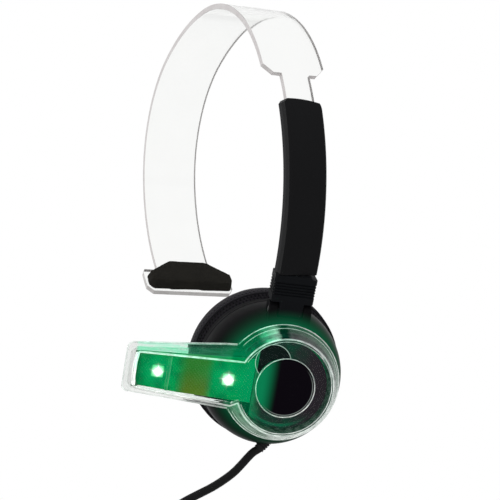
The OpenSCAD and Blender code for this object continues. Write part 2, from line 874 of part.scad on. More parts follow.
module boom_back_shell()
    color([0.85, 0.93, 0.88, 0.5])
        at_boom()
            difference() {
                union() {
                    hub_solid(boom_x, split_x, 0);
                    arm_solid(boom_x, split_x, 0);
                }
                difference() {
                    union() {
                        hub_solid(boom_x + floor_t, split_x + eps, shell_wall);
                        arm_solid(boom_x + floor_t, split_x + eps, shell_wall);
                    }
                    tube_x(boom_x, split_x + eps, shaft_r + 4, shaft_r + 1);
                    translate([0, -lamp_at[1], 0])
                        tube_x(boom_x, split_x, mic_r + 2.4, mic_r + 1.3);
                    round_copies(3, 30)
                        translate([0, 0, core_r - 4])
                            disc_x(boom_x, split_x, 2.4);
                }
                disc_x(boom_x - 1, split_x + 1, shaft_r + 1);
                round_copies(3, 30)
                    translate([0, 0, core_r - 4])
                        disc_x(boom_x - 1, split_x + 1, screw_r + fit);
                translate([0, -lamp_at[1], 0])
                    disc_x(boom_x - 1, split_x, 0.8);
            }

module boom_front_shell()
    color([0.85, 0.93, 0.88, 0.5])
        at_boom()
            difference() {
                union() {
                    hub_solid(split_x, front_x, 0);
                    arm_solid(split_x, front_x, 0);
                }
                difference() {
                    union() {
                        hub_solid(split_x - eps, front_x - shell_wall, shell_wall);
                        arm_solid(split_x - eps, front_x - shell_wall, shell_wall);
                    }
                    translate([board_x + board_t + 0.3, -rib_at - 0.5, -arm_half[0]])
                        cube([boom_t, 1, 2 * arm_half[0]]);
                }
                disc_x(front_x - shell_wall - 1, front_x + 1, cap_r + fit);
            }

// the dark carrier in the hub, open towards the arm where the light comes in
module hub_core()
    color([0.06, 0.07, 0.07])
        at_boom()
            difference() {
                union() {
                    disc_x(board_x, board_x + core_t, core_r);
                    tube_x(board_x, cap_x, cap_r - 0.6, cap_r - 3);
                    translate([0, -6.5, 10])
                        disc_x(board_x, cap_x - 1, 8);
                }
                disc_x(board_x - 1, front_x, shaft_r + run);
                disc_x(board_x + core_t, front_x, cap_r - 3 - eps);
                translate([board_x - 1, -core_r - 1, -core_r])
                    cube([core_t + 2, core_r + 1 - cap_r, 2 * core_r]);
                round_copies(3, 30)
                    translate([0, 0, core_r - 4])
                        disc_x(board_x - 1, board_x + core_t - 0.5, screw_r - fit);
            }

module hub_cap()
    color([0.05, 0.05, 0.06])
        at_boom()
            turned(concat(
                [[0, cap_x], [cap_r, cap_x]],
                bowl(cap_r, front_x - 0.6, 0, front_x + cap_dome, 10)));

module circuit_board()
    color([0.05, 0.45, 0.20])
        at_boom()
            difference() {
                plate_x(board_x, board_x + board_t)
                    polygon([[-cap_r - 0.6, 9], [-lamp_at[0], 9], [-board_end, 6.4],
                        [-board_end, -6.4], [-lamp_at[0], -9], [-cap_r - 0.6, -9]]);
                for (z = [-4.5:1.5:4.5], y = [-44:1.8:-34])
                    translate([0, y, z])
                        disc_x(board_x - 1, board_x + board_t + 1, 0.45, $fn = 16);
            }

module lamps()
    color([0.97, 1.0, 0.97])
        at_boom()
            for (y = lamp_at)
                translate([0, -y, -0.6]) {
                    translate([board_x + board_t, -lamp_size / 2, -lamp_size / 2])
                        cube([lamp_t * 0.6, lamp_size, lamp_size]);
                    disc_x(board_x + board_t, board_x + board_t + lamp_t, lamp_size * 0.42);
                }

// a white reflector round the inside of the arm's tip, standing on the board
module end_strip()
    color([0.95, 0.95, 0.95])
        at_boom()
            plate_x(board_x + board_t + 0.1, front_x - shell_wall - 0.1)
                intersection() {
                    difference() {
                        boom_outline(front_x - shell_wall, shell_wall + 0.3);
                        boom_outline(front_x - shell_wall, shell_wall + 1.7);
                    }
                    translate([-boom_reach, -arm_half[1]])
                        square([9, 2 * arm_half[1]]);
                }

module mic_capsule()
    color([0.75, 0.75, 0.7])
        at_boom()
            translate([0, -lamp_at[1], 0])
                disc_x(boom_x + floor_t, board_x, mic_r);

module mic_boot()
    color([0.08, 0.08, 0.08])
        at_boom()
            translate([0, -lamp_at[1], 0])
                tube_x(boom_x + floor_t, board_x, mic_r + 1.3, mic_r);

module boom_screws()
    color([0.6, 0.6, 0.62])
        at_boom()
            round_copies(3, 30)
                translate([0, 0, core_r - 4])
                    disc_x(boom_x + 0.3, board_x + core_t - 0.6, screw_r - 2 * fit);

// ---- cord
function ease(t) = t <= 0 ? 0 : t >= 1 ? 1 : t * t * (3 - 2 * t);
function coil_point(t) =
    let (a = 180 + 360 * t, r = coil_r - pitch * min(t, coil_turns - t),
         up = ease(2 * (t - coil_turns / 2) + 0.5))
    [coil_c.x + r * cos(a), coil_c.y + r * sin(a), coil_z + pitch * up];
coil_path = concat(
    [[coil_c.x - coil_r, coil_c.y + cord_d, coil_z]],
    [for (i = [0:coil_turns * coil_rings]) coil_point(i / coil_rings)],
    [[coil_c.x + coil_r, coil_c.y + cord_d, coil_z + pitch]]);
coil_gap = min([for (i = [0:2:len(coil_path) - 1], j = [i + 12:1:len(coil_path) - 1])
    norm(coil_path[i] - coil_path[j])]) - cord_d;
function length(p, i = 0) = i >= len(p) - 1 ? 0 : norm(p[i + 1] - p[i]) + length(p, i + 1);
echo(coil_gap = coil_gap, cord_length = length(cord_route) + length(coil_path) + length(tail_route));

module cord()
    color([0.05, 0.05, 0.05])
        sweep(cord_route, cord_d / 2, 8, [1, 0, 0]);

module cord_coil()
    color([0.05, 0.05, 0.05])
        sweep(coil_path, cord_d / 2, 6, [0, 0, 1]);

module cord_tail()
    color([0.05, 0.05, 0.05])
        sweep(tail_route, cord_d / 2, 8, [1, 0, 0]);

// a band round the coil's turns where they pass its front
module cord_tie() {
    far = coil_r - pitch * 0.25 + cord_d / 2 + 0.3;
    near = coil_r - pitch * (coil_turns / 2 - 0.5) - cord_d / 2 - 0.7;
    high = pitch + cord_d + 0.3;
    color([0.10, 0.10, 0.10])
        translate([coil_c.x - 2.5, coil_c.y, floor_z])
            rotate([90, 0, 90])
                linear_extrude(5)
                    difference() {
                        translate([-far - coil_lift, 0])
                            square([far - near + 2 * coil_lift, high + 2 * coil_lift]);
                        translate([-far, coil_lift])
                            square([far - near, high]);
                    }
}

module at_plug()
    translate([plug_x, plug_y, plug_z])
        rotate([-90, 0, 0])
            children();

relief_len = 9;
grip_len = 15;

module plug_grip()
    color([0.06, 0.06, 0.06])
        at_plug()
            rotate_extrude()
                polygon([
                    [0, 0], [cord_d / 2 + 0.5, 0], [plug_r - 0.9, relief_len],
                    [plug_r, relief_len + 1], [plug_r, relief_len + grip_len - 1],
                    [plug_r - 0.7, relief_len + grip_len], [0, relief_len + grip_len]]);

module plug_contact()
    color([0.85, 0.83, 0.75])
        at_plug()
            translate([0, 0, relief_len + grip_len])
                difference() {
                    union() {
                        cylinder(r = contact_r, h = contact_len - 1.6);
                        translate([0, 0, contact_len - 1.6])
                            cylinder(r1 = contact_r, r2 = contact_r * 0.45, h = 1.6);
                    }
                    for (z = [4.4, 7.4])
                        translate([0, 0, z])
                            plug_ring();
                }

module plug_ring()
    rotate_extrude()
        translate([contact_r - 0.3, 0])
            square([0.3, 0.6]);

module plug_rings()
    color([0.05, 0.05, 0.05])
        at_plug()
            translate([0, 0, relief_len + grip_len])
                for (z = [4.4, 7.4])
                    translate([0, 0, z])
                        plug_ring();

headband_strip();
temple_pad();
pad_adhesive();
stem_outer_cover();
stem_inner_cover();
detent_spring();
stem_screws();
swivel_pin();
neck_block();
neck_back_cover();
tilt_pin();
cup_housing();
baffle_plate();
speaker_frame();
speaker_magnet();
speaker_cone();
cushion_ring();
grille_cloth();
ear_cushion();
baffle_screws();
cord_gland();
pivot_shaft();
pivot_clip();
friction_washer();
boom_back_shell();
boom_front_shell();
hub_core();
hub_cap();
circuit_board();
lamps();
end_strip();
mic_capsule();
mic_boot();
boom_screws();
cord();
cord_coil();
cord_tail();
cord_tie();
plug_grip();
plug_contact();
plug_rings();
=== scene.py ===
import json
import math
import bpy
from mathutils import Matrix, Vector


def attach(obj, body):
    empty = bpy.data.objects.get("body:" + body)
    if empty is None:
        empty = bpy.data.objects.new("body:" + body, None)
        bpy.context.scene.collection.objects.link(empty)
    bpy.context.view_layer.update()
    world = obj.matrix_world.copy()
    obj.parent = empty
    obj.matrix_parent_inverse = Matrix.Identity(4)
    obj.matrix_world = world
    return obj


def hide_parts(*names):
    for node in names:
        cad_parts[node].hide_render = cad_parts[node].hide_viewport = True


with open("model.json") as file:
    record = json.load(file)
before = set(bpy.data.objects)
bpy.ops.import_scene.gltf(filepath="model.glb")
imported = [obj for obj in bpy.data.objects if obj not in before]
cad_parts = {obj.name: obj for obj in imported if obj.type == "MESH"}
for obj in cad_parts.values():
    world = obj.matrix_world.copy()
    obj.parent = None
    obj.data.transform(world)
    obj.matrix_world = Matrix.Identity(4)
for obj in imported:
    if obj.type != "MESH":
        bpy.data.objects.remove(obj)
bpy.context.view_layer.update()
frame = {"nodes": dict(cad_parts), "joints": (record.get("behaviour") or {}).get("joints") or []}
nodes = frame["nodes"]
joints = {j["name"]: j for j in frame["joints"]}
print("stage: frame loaded,", len(nodes), "nodes")

mm = 0.001

# the hub's, the cup's and the boom's places, all from the joints
hubX = Vector(joints["boom_turn"]["axis"]).normalized()
hubY = Vector(joints["cup_tilt"]["axis"]).normalized()
hubZ = hubX.cross(hubY)
hubDepth = 5 * mm  # how far the joint's own spot lies in front of the hub's
cupForward = 1.9 * mm
boomLift = 1.4
hubSpot = Vector(joints["boom_turn"]["pos_m"]) - hubDepth * hubX


def framePlace(x, y, z, spot):
    place = Matrix((x, y, z)).transposed().to_4x4()
    place.translation = spot
    return place


hubPlace = framePlace(hubX, hubY, hubZ, hubSpot)
cupPlace = framePlace(hubX, hubY, hubZ, hubSpot - cupForward * hubY)
boomPlace = hubPlace @ Matrix.Rotation(math.radians(-boomLift), 4, "X")

cameraSet = {
    "spot": (0.47798, -0.24160, -0.29337),
    "right": (0.4191, 0.8989, -0.1279),
    "back": (0.8444, -0.4376, -0.3091),
    "lens": 82.15,
    "sensor": 36,
    "nearest": 0.01,
}


def makeCamera(s):
    data = bpy.data.cameras.new("camera")
    data.lens = s["lens"]
    data.sensor_width = s["sensor"]
    data.clip_start = s["nearest"]
    camera = bpy.data.objects.new("camera", data)
    bpy.context.collection.objects.link(camera)
    back = Vector(s["back"]).normalized()
    right = Vector(s["right"]).normalized()
    up = back.cross(right).normalized()
    camera.matrix_world = framePlace(up.cross(back), up, back, Vector(s["spot"]))
    bpy.context.scene.camera = camera


makeCamera(cameraSet)
print("stage: camera")


def deselectAll():
    if bpy.context.object and bpy.context.object.mode != "OBJECT":
        bpy.ops.object.mode_set(mode="OBJECT")
    bpy.ops.object.select_all(action="DESELECT")


def pick(piece):
    deselectAll()
    piece.select_set(True)
    bpy.context.view_layer.objects.active = piece


def settle(piece, place=None):
    if place is not None:
        piece.matrix_world = place @ piece.matrix_world
    pick(piece)
    bpy.ops.object.transform_apply(location=True, rotation=True, scale=True)


def smoothBy(piece, degrees=35):
    pick(piece)
    bpy.ops.object.shade_smooth_by_angle(angle=math.radians(degrees))


weldWithin = 2e-6


def cleanNormals(piece):
    pick(piece)
    bpy.ops.object.mode_set(mode="EDIT")
    bpy.ops.mesh.select_all(action="SELECT")
    bpy.ops.mesh.remove_doubles(threshold=weldWithin)
    bpy.ops.mesh.normals_make_consistent(inside=False)
    bpy.ops.object.mode_set(mode="OBJECT")


def applyAll(piece):
    pick(piece)
    for modifier in list(piece.modifiers):
        bpy.ops.object.modifier_apply(modifier=modifier.name)


def addBevel(piece, width, segments=2, degrees=32):
    bevel = piece.modifiers.new("edge", "BEVEL")
    bevel.width = width
    bevel.segments = segments
    bevel.limit_method = "ANGLE"
    bevel.angle_limit = math.radians(degrees)
    bevel.use_clamp_overlap = True


def finishPiece(piece, body, material, replaced=()):
    piece.data.materials.clear()
    piece.data.materials.append(material)
    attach(piece, body)
    if replaced:
        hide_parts(*replaced)
    return piece


zToX = Matrix(((0, 0, 1, 0), (0, 1, 0, 0), (-1, 0, 0, 0), (0, 0, 0, 1)))


# a ring of points, extruded along a closed profile of (x, radius) and turned onto its own X axis
def turnedPiece(name, profile, steps, place):
    deselectAll()
    x0, r0 = profile[0]
    bpy.ops.mesh.primitive_circle_add(vertices=steps, radius=r0, location=(0, 0, x0))
    piece = bpy.context.object
    piece.name = name
    bpy.ops.object.mode_set(mode="EDIT")
    bpy.ops.mesh.select_all(action="SELECT")
    for (xa, ra), (xb, rb) in zip(profile, profile[1:]):
        bpy.ops.mesh.extrude_region_move(TRANSFORM_OT_translate={"value": (0, 0, xb - xa)})
        k = rb / ra
        if abs(k - 1) > 1e-7:
            bpy.ops.transform.resize(value=(k, k, 1), center_override=(0, 0, xb))
    bpy.ops.mesh.select_all(action="DESELECT")
    bpy.ops.object.mode_set(mode="OBJECT")
    last = len(piece.data.vertices) - steps
    for v in piece.data.vertices:
        v.select = v.index < steps or v.index >= last
    for e in piece.data.edges:
        e.select = max(e.vertices) < steps or min(e.vertices) >= last
    bpy.ops.object.mode_set(mode="EDIT")
    bpy.ops.mesh.bridge_edge_loops()
    bpy.ops.object.mode_set(mode="OBJECT")
    settle(piece, place @ zToX)
    cleanNormals(piece)
    smoothBy(piece, 40)
    return piece


# the arm thins and narrows from the hub to its tip; all its clear pieces follow this
armShape = {
    "root": -20.0, "full": -23.0, "tip": -70.0, "split": 9.3, "front": 16.7, "thin": 3.6, "longer": 0.8,
    "backWide": (1.108, 1.035), "frontWide": (1.11, 1.20), "backShift": (0.3, -1.0), "frontShift": (-1.0, -0.4),
    "cuts": (-20.0, -21.5, -23.0, -27.0, -34.0, -42.0, -50.0, -58.0, -64.0),
}


def cutArm(piece, s):
    pick(piece)
    bpy.ops.object.mode_set(mode="EDIT")
    along = boomPlace.to_3x3() @ Vector((0, 1, 0))
    for y in s["cuts"]:
        bpy.ops.mesh.select_all(action="SELECT")
        bpy.ops.mesh.bisect(plane_co=boomPlace @ Vector((0, y * mm, 0)), plane_no=along)
    bpy.ops.object.mode_set(mode="OBJECT")


def shapeArm(piece, s):
    inverse = boomPlace.inverted()
    for vertex in piece.data.vertices:
        x, y, z = (inverse @ vertex.co) / mm
        if y >= s["root"]:
            continue
        share = min((s["root"] - y) / (s["root"] - s["tip"]), 1)
        blend = min((s["root"] - y) / (s["root"] - s["full"]), 1)
        lift = min(max((x - s["split"]) / (s["front"] - s["split"]), 0), 1)

        def along(pair):
            return pair[0] + (pair[1] - pair[0]) * share

        wide = along(s["backWide"]) * (1 - lift) + along(s["frontWide"]) * lift
        shift = along(s["backShift"]) * (1 - lift) + along(s["frontShift"]) * lift
        place = Vector((
            x - s["thin"] * share * lift,
            y - s["longer"] * share,
            z * (1 + blend * (wide - 1)) + blend * shift,
        ))
        vertex.co = boomPlace @ (place * mm)


def meshCopy(nodeName, name):
    piece = bpy.data.objects.new(name, nodes[nodeName].data.copy())
    bpy.context.collection.objects.link(piece)
    pick(piece)
    return piece


flatWithin = 0.6


# a copy of a CAD node's mesh, its edges rounded off
def dressedCopy(nodeName, name, width, segments, degrees, smooth=35, onArm=False):
    piece = meshCopy(nodeName, name)
    bpy.ops.object.mode_set(mode="EDIT")
    bpy.ops.mesh.select_all(action="SELECT")
    bpy.ops.mesh.remove_doubles(threshold=weldWithin / 2)
    bpy.ops.mesh.dissolve_limited(angle_limit=math.radians(flatWithin))
    bpy.ops.object.mode_set(mode="OBJECT")
    addBevel(piece, width, segments, degrees)
    applyAll(piece)
    if onArm:
        cutArm(piece, armShape)
        shapeArm(piece, armShape)
    smoothBy(piece, smooth)
    piece.modifiers.new("flat", "WEIGHTED_NORMAL").keep_sharp = True  # broad faces stay flat
    applyAll(piece)
    return piece


# the voice cord: down from the cup, round in a coil and on to its plug
cordSet = {
    "diameter": 3.8,
    "coilCentre": (16, -106),
    "coilRadius": 28,
    "coilTurns": 7.5,
    "coilLift": 0.7,
    "space": 0.5,
    "floor": -320,
    "stepsPerTurn": 24,
    "leadOut": [(44.2, -91, -313.9), (44.6, -84, -315.2), (45.2, -76.6, -316.2)],
    "plug": (45.5, -60),
    "plugRadius": 3.6,
    "free": [
        (6.47, -4.2, -215.73), (4.88, -5.84, -217.68), (2.86, -8.92, -219.44), (-1.2, -15.8, -225.9),
        (-4.3, -20.8, -229.3), (-7.4, -26, -232), (-10.2, -31.6, -234.2), (-12.4, -37.2, -236.4),
        (-13.8, -43, -239.2), (-14.6, -48.6, -243), (-15, -53.6, -248.2), (-15, -57.6, -255),
        (-15, -60.6, -262.6), (-15, -63, -270.8), (-15, -65.2, -279), (-14.8, -67.6, -287.2),
        (-14.4, -70.6, -295.2), (-13.8, -75, -302.6), (-13, -81, -309.2), (-12.3, -88.6, -314.8),
    ],
}


def cordRoute(s):
    d, r0, turns = s["diameter"], s["coilRadius"], s["coilTurns"]
    cx, cy = s["coilCentre"]
    z0 = s["floor"] + s["coilLift"] + d / 2
    pitch = d + s["space"]
    route = list(s["free"]) + [(cx - r0, cy + 2 * d, z0), (cx - r0, cy + d, z0)]

    def ease(t):
        t = min(max(t, 0), 1)
        return t * t * (3 - 2 * t)

    for i in range(int(turns * s["stepsPerTurn"]) + 1):
        t = i / s["stepsPerTurn"]
        a = math.radians(180 + 360 * t)
        r = r0 - pitch * min(t, turns - t)
        up = ease(2 * (t - turns / 2) + 0.5)
        route.append((cx + r * math.cos(a), cy + r * math.sin(a), z0 + pitch * up))
    px, py = s["plug"]
    pz = s["floor"] + s["plugRadius"]
    route += [(cx + r0, cy + d, z0 + pitch), (cx + r0, cy + 2 * d, z0 + pitch)]
    route += s["leadOut"] + [(px, py - 2 * d, pz), (px, py, pz)]
    return [Vector(p) * mm for p in route]


# a smooth line through the points, with more points on its long stretches
def roundedRoute(route):
    line = []
    last = len(route) - 1
    for i in range(last):
        a, b, c, e = route[max(i - 1, 0)], route[i], route[i + 1], route[min(i + 2, last)]
        parts = 3 if (c - b).length > 3.5 * mm else 1
        for k in range(parts):
            t = k / parts
            bend = (2 * a - 5 * b + 4 * c - e) * t ** 2 + (3 * b - a - 3 * c + e) * t ** 3
            line.append((2 * b + (c - a) * t + bend) / 2)
    line.append(route[-1])
    return line


def makeCord(s):
    line = roundedRoute(cordRoute(s))
    curve = bpy.data.curves.new("voiceCord", "CURVE")
    curve.dimensions = "3D"
    spline = curve.splines.new("POLY")
    spline.points.add(len(line) - 1)
    for point, place in zip(spline.points, line):
        point.co = (*place, 1)
    curve.bevel_depth = s["diameter"] / 2 * mm
    curve.bevel_resolution = 3
    curve.use_fill_caps = True
    spline.use_smooth = True
    cord = bpy.data.objects.new("voiceCord", curve)
    bpy.context.collection.objects.link(cord)
    return cord, line, sum((b - a).length for a, b in zip(line, line[1:]))


voiceCord, cordLine, cordLength = makeCord(cordSet)
print("stage: cord, length", round(cordLength, 4))


def newGroup(name, inputs, outputs):
    group = bpy.data.node_groups.new(name, "ShaderNodeTree")
    for kind, label, value in inputs:
        socket = group.interface.new_socket(name=label, in_out="INPUT", socket_type=kind)
        if value is not None:
            socket.default_value = value
    for kind, label in outputs:
        group.interface.new_socket(name=label, in_out="OUTPUT", socket_type=kind)
    start = group.nodes.new("NodeGroupInput")
    end = group.nodes.new("NodeGroupOutput")
    return group, start, end


number, colour, vector = "NodeSocketFloat", "NodeSocketColor", "NodeSocketVector"


class Wiring:
    def __init__(self, tree):
        self.tree = tree

    def plug(self, socket, value):
        if isinstance(value, bpy.types.NodeSocket):
            self.tree.links.new(value, socket)
        elif value is not None:
            socket.default_value = value

    def math(self, operation, a, b=None):
        node = self.tree.nodes.new("ShaderNodeMath")
        node.operation = operation
        self.plug(node.inputs[0], a)
        self.plug(node.inputs[1], b)
        return node.outputs[0]

    def ramp(self, value, low, high, to0=0.0, to1=1.0, smooth=True):
        node = self.tree.nodes.new("ShaderNodeMapRange")
        node.interpolation_type = "SMOOTHSTEP" if smooth else "LINEAR"
        for socket, v in zip(node.inputs, (value, low, high, to0, to1)):
            self.plug(socket, v)
        return node.outputs[0]

    def mix(self, factor, a, b):
        node = self.tree.nodes.new("ShaderNodeMix")
        node.data_type = "RGBA"
        self.plug(node.inputs["Factor"], factor)
        self.plug(node.inputs[6], a)
        self.plug(node.inputs[7], b)
        return node.outputs[2]

    def noise(self, place, scale, detail=3.0, rough=0.5):
        node = self.tree.nodes.new("ShaderNodeTexNoise")
        self.plug(node.inputs["Vector"], place)
        self.plug(node.inputs["Scale"], scale)
        node.inputs["Detail"].default_value = detail
        node.inputs["Roughness"].default_value = rough
        return node.outputs["Fac"]

    def vectorMath(self, operation, value, socket, by):
        node = self.tree.nodes.new("ShaderNodeVectorMath")
        node.operation = operation
        self.plug(node.inputs[0], value)
        self.plug(node.inputs[socket], by)
        return node.outputs["Value" if operation == "DOT_PRODUCT" else "Vector"]

    def objectPlace(self):
        return self.tree.nodes.new("ShaderNodeTexCoord").outputs["Object"]

    def splitUp(self, value):
        node = self.tree.nodes.new("ShaderNodeSeparateXYZ")
        self.plug(node.inputs[0], value)
        return node.outputs[0], node.outputs[1], node.outputs[2]

    def group(self, group, **values):
        node = self.tree.nodes.new("ShaderNodeGroup")
        node.node_tree = group
        for label, value in values.items():
            self.plug(node.inputs[label], value)
        return node.outputs


def makeGrainGroup():
    group, start, end = newGroup(
        "mouldedGrain",
        [(vector, "Place", None), (colour, "Tone", (0.02, 0.02, 0.02, 1)), (number, "Scale", 900.0),
         (number, "Spread", 0.3), (number, "Gloss", 0.4), (number, "GlossSpread", 0.1)],
        [(colour, "Tone"), (number, "Roughness"), (number, "Height")],
    )
    w = Wiring(group)
    place, tone, scale, spread, gloss, glossSpread = [start.outputs[i] for i in range(6)]
    fine = w.noise(place, scale, 3.0)
    broad = w.noise(place, 45.0, 4.0, 0.6)
    fineLift, broadLift = [w.math("SUBTRACT", n, 0.5) for n in (fine, broad)]
    fineShare = w.math("MULTIPLY", fineLift, w.math("MULTIPLY", spread, 0.6))
    factor = w.math("ADD", w.math("ADD", w.math("MULTIPLY", broadLift, spread), fineShare), 1.0)
    w.plug(end.inputs[0], w.vectorMath("SCALE", tone, "Scale", factor))
    w.plug(end.inputs[1], w.math("ADD", gloss, w.math("MULTIPLY", broadLift, glossSpread)))
    w.plug(end.inputs[2], fine)
    return group


# a point's place in a frame, in millimetres, given the frame's own spot and turn
def makePlaceGroup():
    group, start, end = newGroup(
        "localPlace",
        [(vector, "Spot", (0, 0, 0)), (vector, "Turn", (0, 0, 0))],
        [(number, "X"), (number, "Y"), (number, "Z"), (number, "Radius"), (number, "Around"), (vector, "Local")],
    )
    w = Wiring(group)
    mapping = group.nodes.new("ShaderNodeMapping")
    mapping.vector_type = "TEXTURE"
    w.plug(mapping.inputs["Vector"], w.objectPlace())
    w.plug(mapping.inputs["Location"], start.outputs[0])
    w.plug(mapping.inputs["Rotation"], start.outputs[1])
    inMm = w.vectorMath("SCALE", mapping.outputs[0], "Scale", 1 / mm)
    x, y, z = w.splitUp(inMm)
    radius = w.math("SQRT", w.math("ADD", w.math("MULTIPLY", y, y), w.math("MULTIPLY", z, z)))
    for i, value in enumerate((x, y, z, radius, w.math("ARCTAN2", z, y), inMm)):
        w.plug(end.inputs[i], value)
    return group


# crossed threads: a mask of the gaps between them and a height
def makeWeaveGroup():
    group, start, end = newGroup(
        "crossedThreads",
        [(number, "A", 0.0), (number, "B", 0.0), (number, "CountA", 60.0), (number, "CountB", 12.0)],
        [(number, "Gap"), (number, "Height")],
    )
    w = Wiring(group)
    a = w.math("SINE", w.math("MULTIPLY", start.outputs[0], start.outputs[2]))
    b = w.math("SINE", w.math("MULTIPLY", start.outputs[1], start.outputs[3]))
    product = w.math("MULTIPLY", a, b)
    w.plug(end.inputs[0], w.ramp(product, 0.15, 0.7))
    w.plug(end.inputs[1], w.math("SUBTRACT", 1.0, w.ramp(product, 0.0, 0.8)))
    return group


# soft light round a point of the local frame, in millimetres
def makeGlowGroup():
    group, start, end = newGroup(
        "lampSpread",
        [(number, "Y", 0.0), (number, "Z", 0.0), (number, "AtY", 0.0), (number, "AtZ", 0.0),
         (number, "Reach", 4.0), (number, "Stars", 0.4)],
        [(number, "Mask")],
    )
    w = Wiring(group)
    y, z, atY, atZ, reach, stars = [start.outputs[i] for i in range(6)]
    dy = w.math("DIVIDE", w.math("ABSOLUTE", w.math("SUBTRACT", y, atY)), reach)
    dz = w.math("DIVIDE", w.math("ABSOLUTE", w.math("SUBTRACT", z, atZ)), reach)
    d2 = w.math("ADD", w.math("MULTIPLY", dy, dy), w.math("MULTIPLY", dz, dz))
    blob = w.math("EXPONENT", w.math("MULTIPLY", d2, -1.0))
    # two narrow arms of light across each lamp
    cross = w.math("EXPONENT", w.math("MULTIPLY", w.math("MULTIPLY", dy, dz), -14.0))
    far = w.math("EXPONENT", w.math("MULTIPLY", d2, -0.35))
    star = w.math("MULTIPLY", w.math("MULTIPLY", cross, far), stars)
    w.plug(end.inputs[0], w.math("MINIMUM", w.math("ADD", blob, star), 1.0))
    return group


grainGroup = makeGrainGroup()
placeGroup = makePlaceGroup()
weaveGroup = makeWeaveGroup()
glowGroup = makeGlowGroup()
print("stage: shader groups")


def newMaterial(name):
    material = bpy.data.materials.new(name)
    material.use_nodes = True
    tree = material.node_tree
    tree.nodes.clear()
    out = tree.nodes.new("ShaderNodeOutputMaterial")
    shader = tree.nodes.new("ShaderNodeBsdfPrincipled")
    tree.links.new(shader.outputs[0], out.inputs[0])
    return material, Wiring(tree), shader


# the values that are the same all over a finish
def setPlain(shader, spec=None, ior=None, clear=None, metal=None):
    values = {"Specular IOR Level": spec, "IOR": ior, "Transmission Weight": clear, "Metallic": metal}
    for label, value in values.items():
        if value is not None:
            shader.inputs[label].default_value = value


def addLook(w, shader, tone, rough):
    w.plug(shader.inputs["Base Color"], tone)
    w.plug(shader.inputs["Roughness"], rough)


def addGlow(w, shader, tone, strength=1.0):
    w.plug(shader.inputs["Emission Color"], tone)
    shader.inputs["Emission Strength"].default_value = strength


def addBump(w, shader, height, distance, strength=0.5):
    bump = w.tree.nodes.new("ShaderNodeBump")
    bump.inputs["Distance"].default_value = distance
    bump.inputs["Strength"].default_value = strength
    w.plug(bump.inputs["Height"], height)
    w.plug(shader.inputs["Normal"], bump.outputs[0])


def inFrame(w, place):
    out = w.group(placeGroup, Spot=tuple(place.translation), Turn=tuple(place.to_euler("XYZ")))
    return {label: out[label] for label in ("X", "Y", "Z", "Radius", "Around", "Local")}


# how far round the X axis a point lies, from 0 to 1
def turnShare(w, local):
    return w.math("ADD", w.math("DIVIDE", local["Around"], 2 * math.pi), 0.5)


# a moulded surface: grain is (scale, spread), gloss is (roughness, spread), bump is (distance, strength)
def addGrain(w, shader, tone, grain, gloss, bump):
    out = w.group(grainGroup, Place=w.objectPlace(), Tone=(*tone, 1), Scale=grain[0], Spread=grain[1],
                  Gloss=gloss[0], GlossSpread=gloss[1])
    addLook(w, shader, out["Tone"], out["Roughness"])
    addBump(w, shader, out["Height"], *bump)


def plasticMaterial(name, tone, rough=0.45, spec=0.12, scale=1400.0, bump=0.00004, spread=0.25):
    material, w, shader = newMaterial(name)
    addGrain(w, shader, tone, (scale, spread), (rough, 0.14), (bump,))
    setPlain(shader, spec=spec)
    return material


# clear strip: colourless faces, and cut edges that look grey
stripSet = {
    "face": (0.955, 0.96, 0.95, 1), "haze": (0.925, 0.93, 0.92, 1), "edge": (0.52, 0.49, 0.485, 1),
    "footEdge": (0.42, 0.40, 0.39, 1), "streak": (0.62, 0.60, 0.59, 1), "ior": 1.25,
    "edgeRound": 0.3 * mm, "footTop": -105 * mm, "footBlend": 4 * mm, "stemSide": 50 * mm, "archTop": -20 * mm,
}


def stripMaterial(s):
    material, w, shader = newMaterial("clearStrip")
    place = w.objectPlace()
    wave = w.noise(place, 60.0, 2.0)
    addLook(w, shader, w.mix(wave, s["face"], s["haze"]), w.ramp(wave, 0.2, 0.9, 0.02, 0.07))
    setPlain(shader, ior=s["ior"], clear=1.0)
    addBump(w, shader, wave, 0.00006, 0.15)
    return material


def stripEdgeMaterial(s):
    material, w, shader = newMaterial("stripCutEdge")
    place = w.objectPlace()
    height = w.splitUp(place)[2]
    streak = w.noise(place, 160.0, 3.0)
    low = w.ramp(height, s["footTop"] + s["footBlend"], s["footTop"] - s["footBlend"])
    tone = w.mix(w.ramp(streak, 0.35, 0.7, 0.0, 0.5), w.mix(low, s["edge"], s["footEdge"]), s["streak"])
    addLook(w, shader, tone, w.ramp(streak, 0.2, 0.8, 0.25, 0.4))
    setPlain(shader, spec=0.4)
    return material


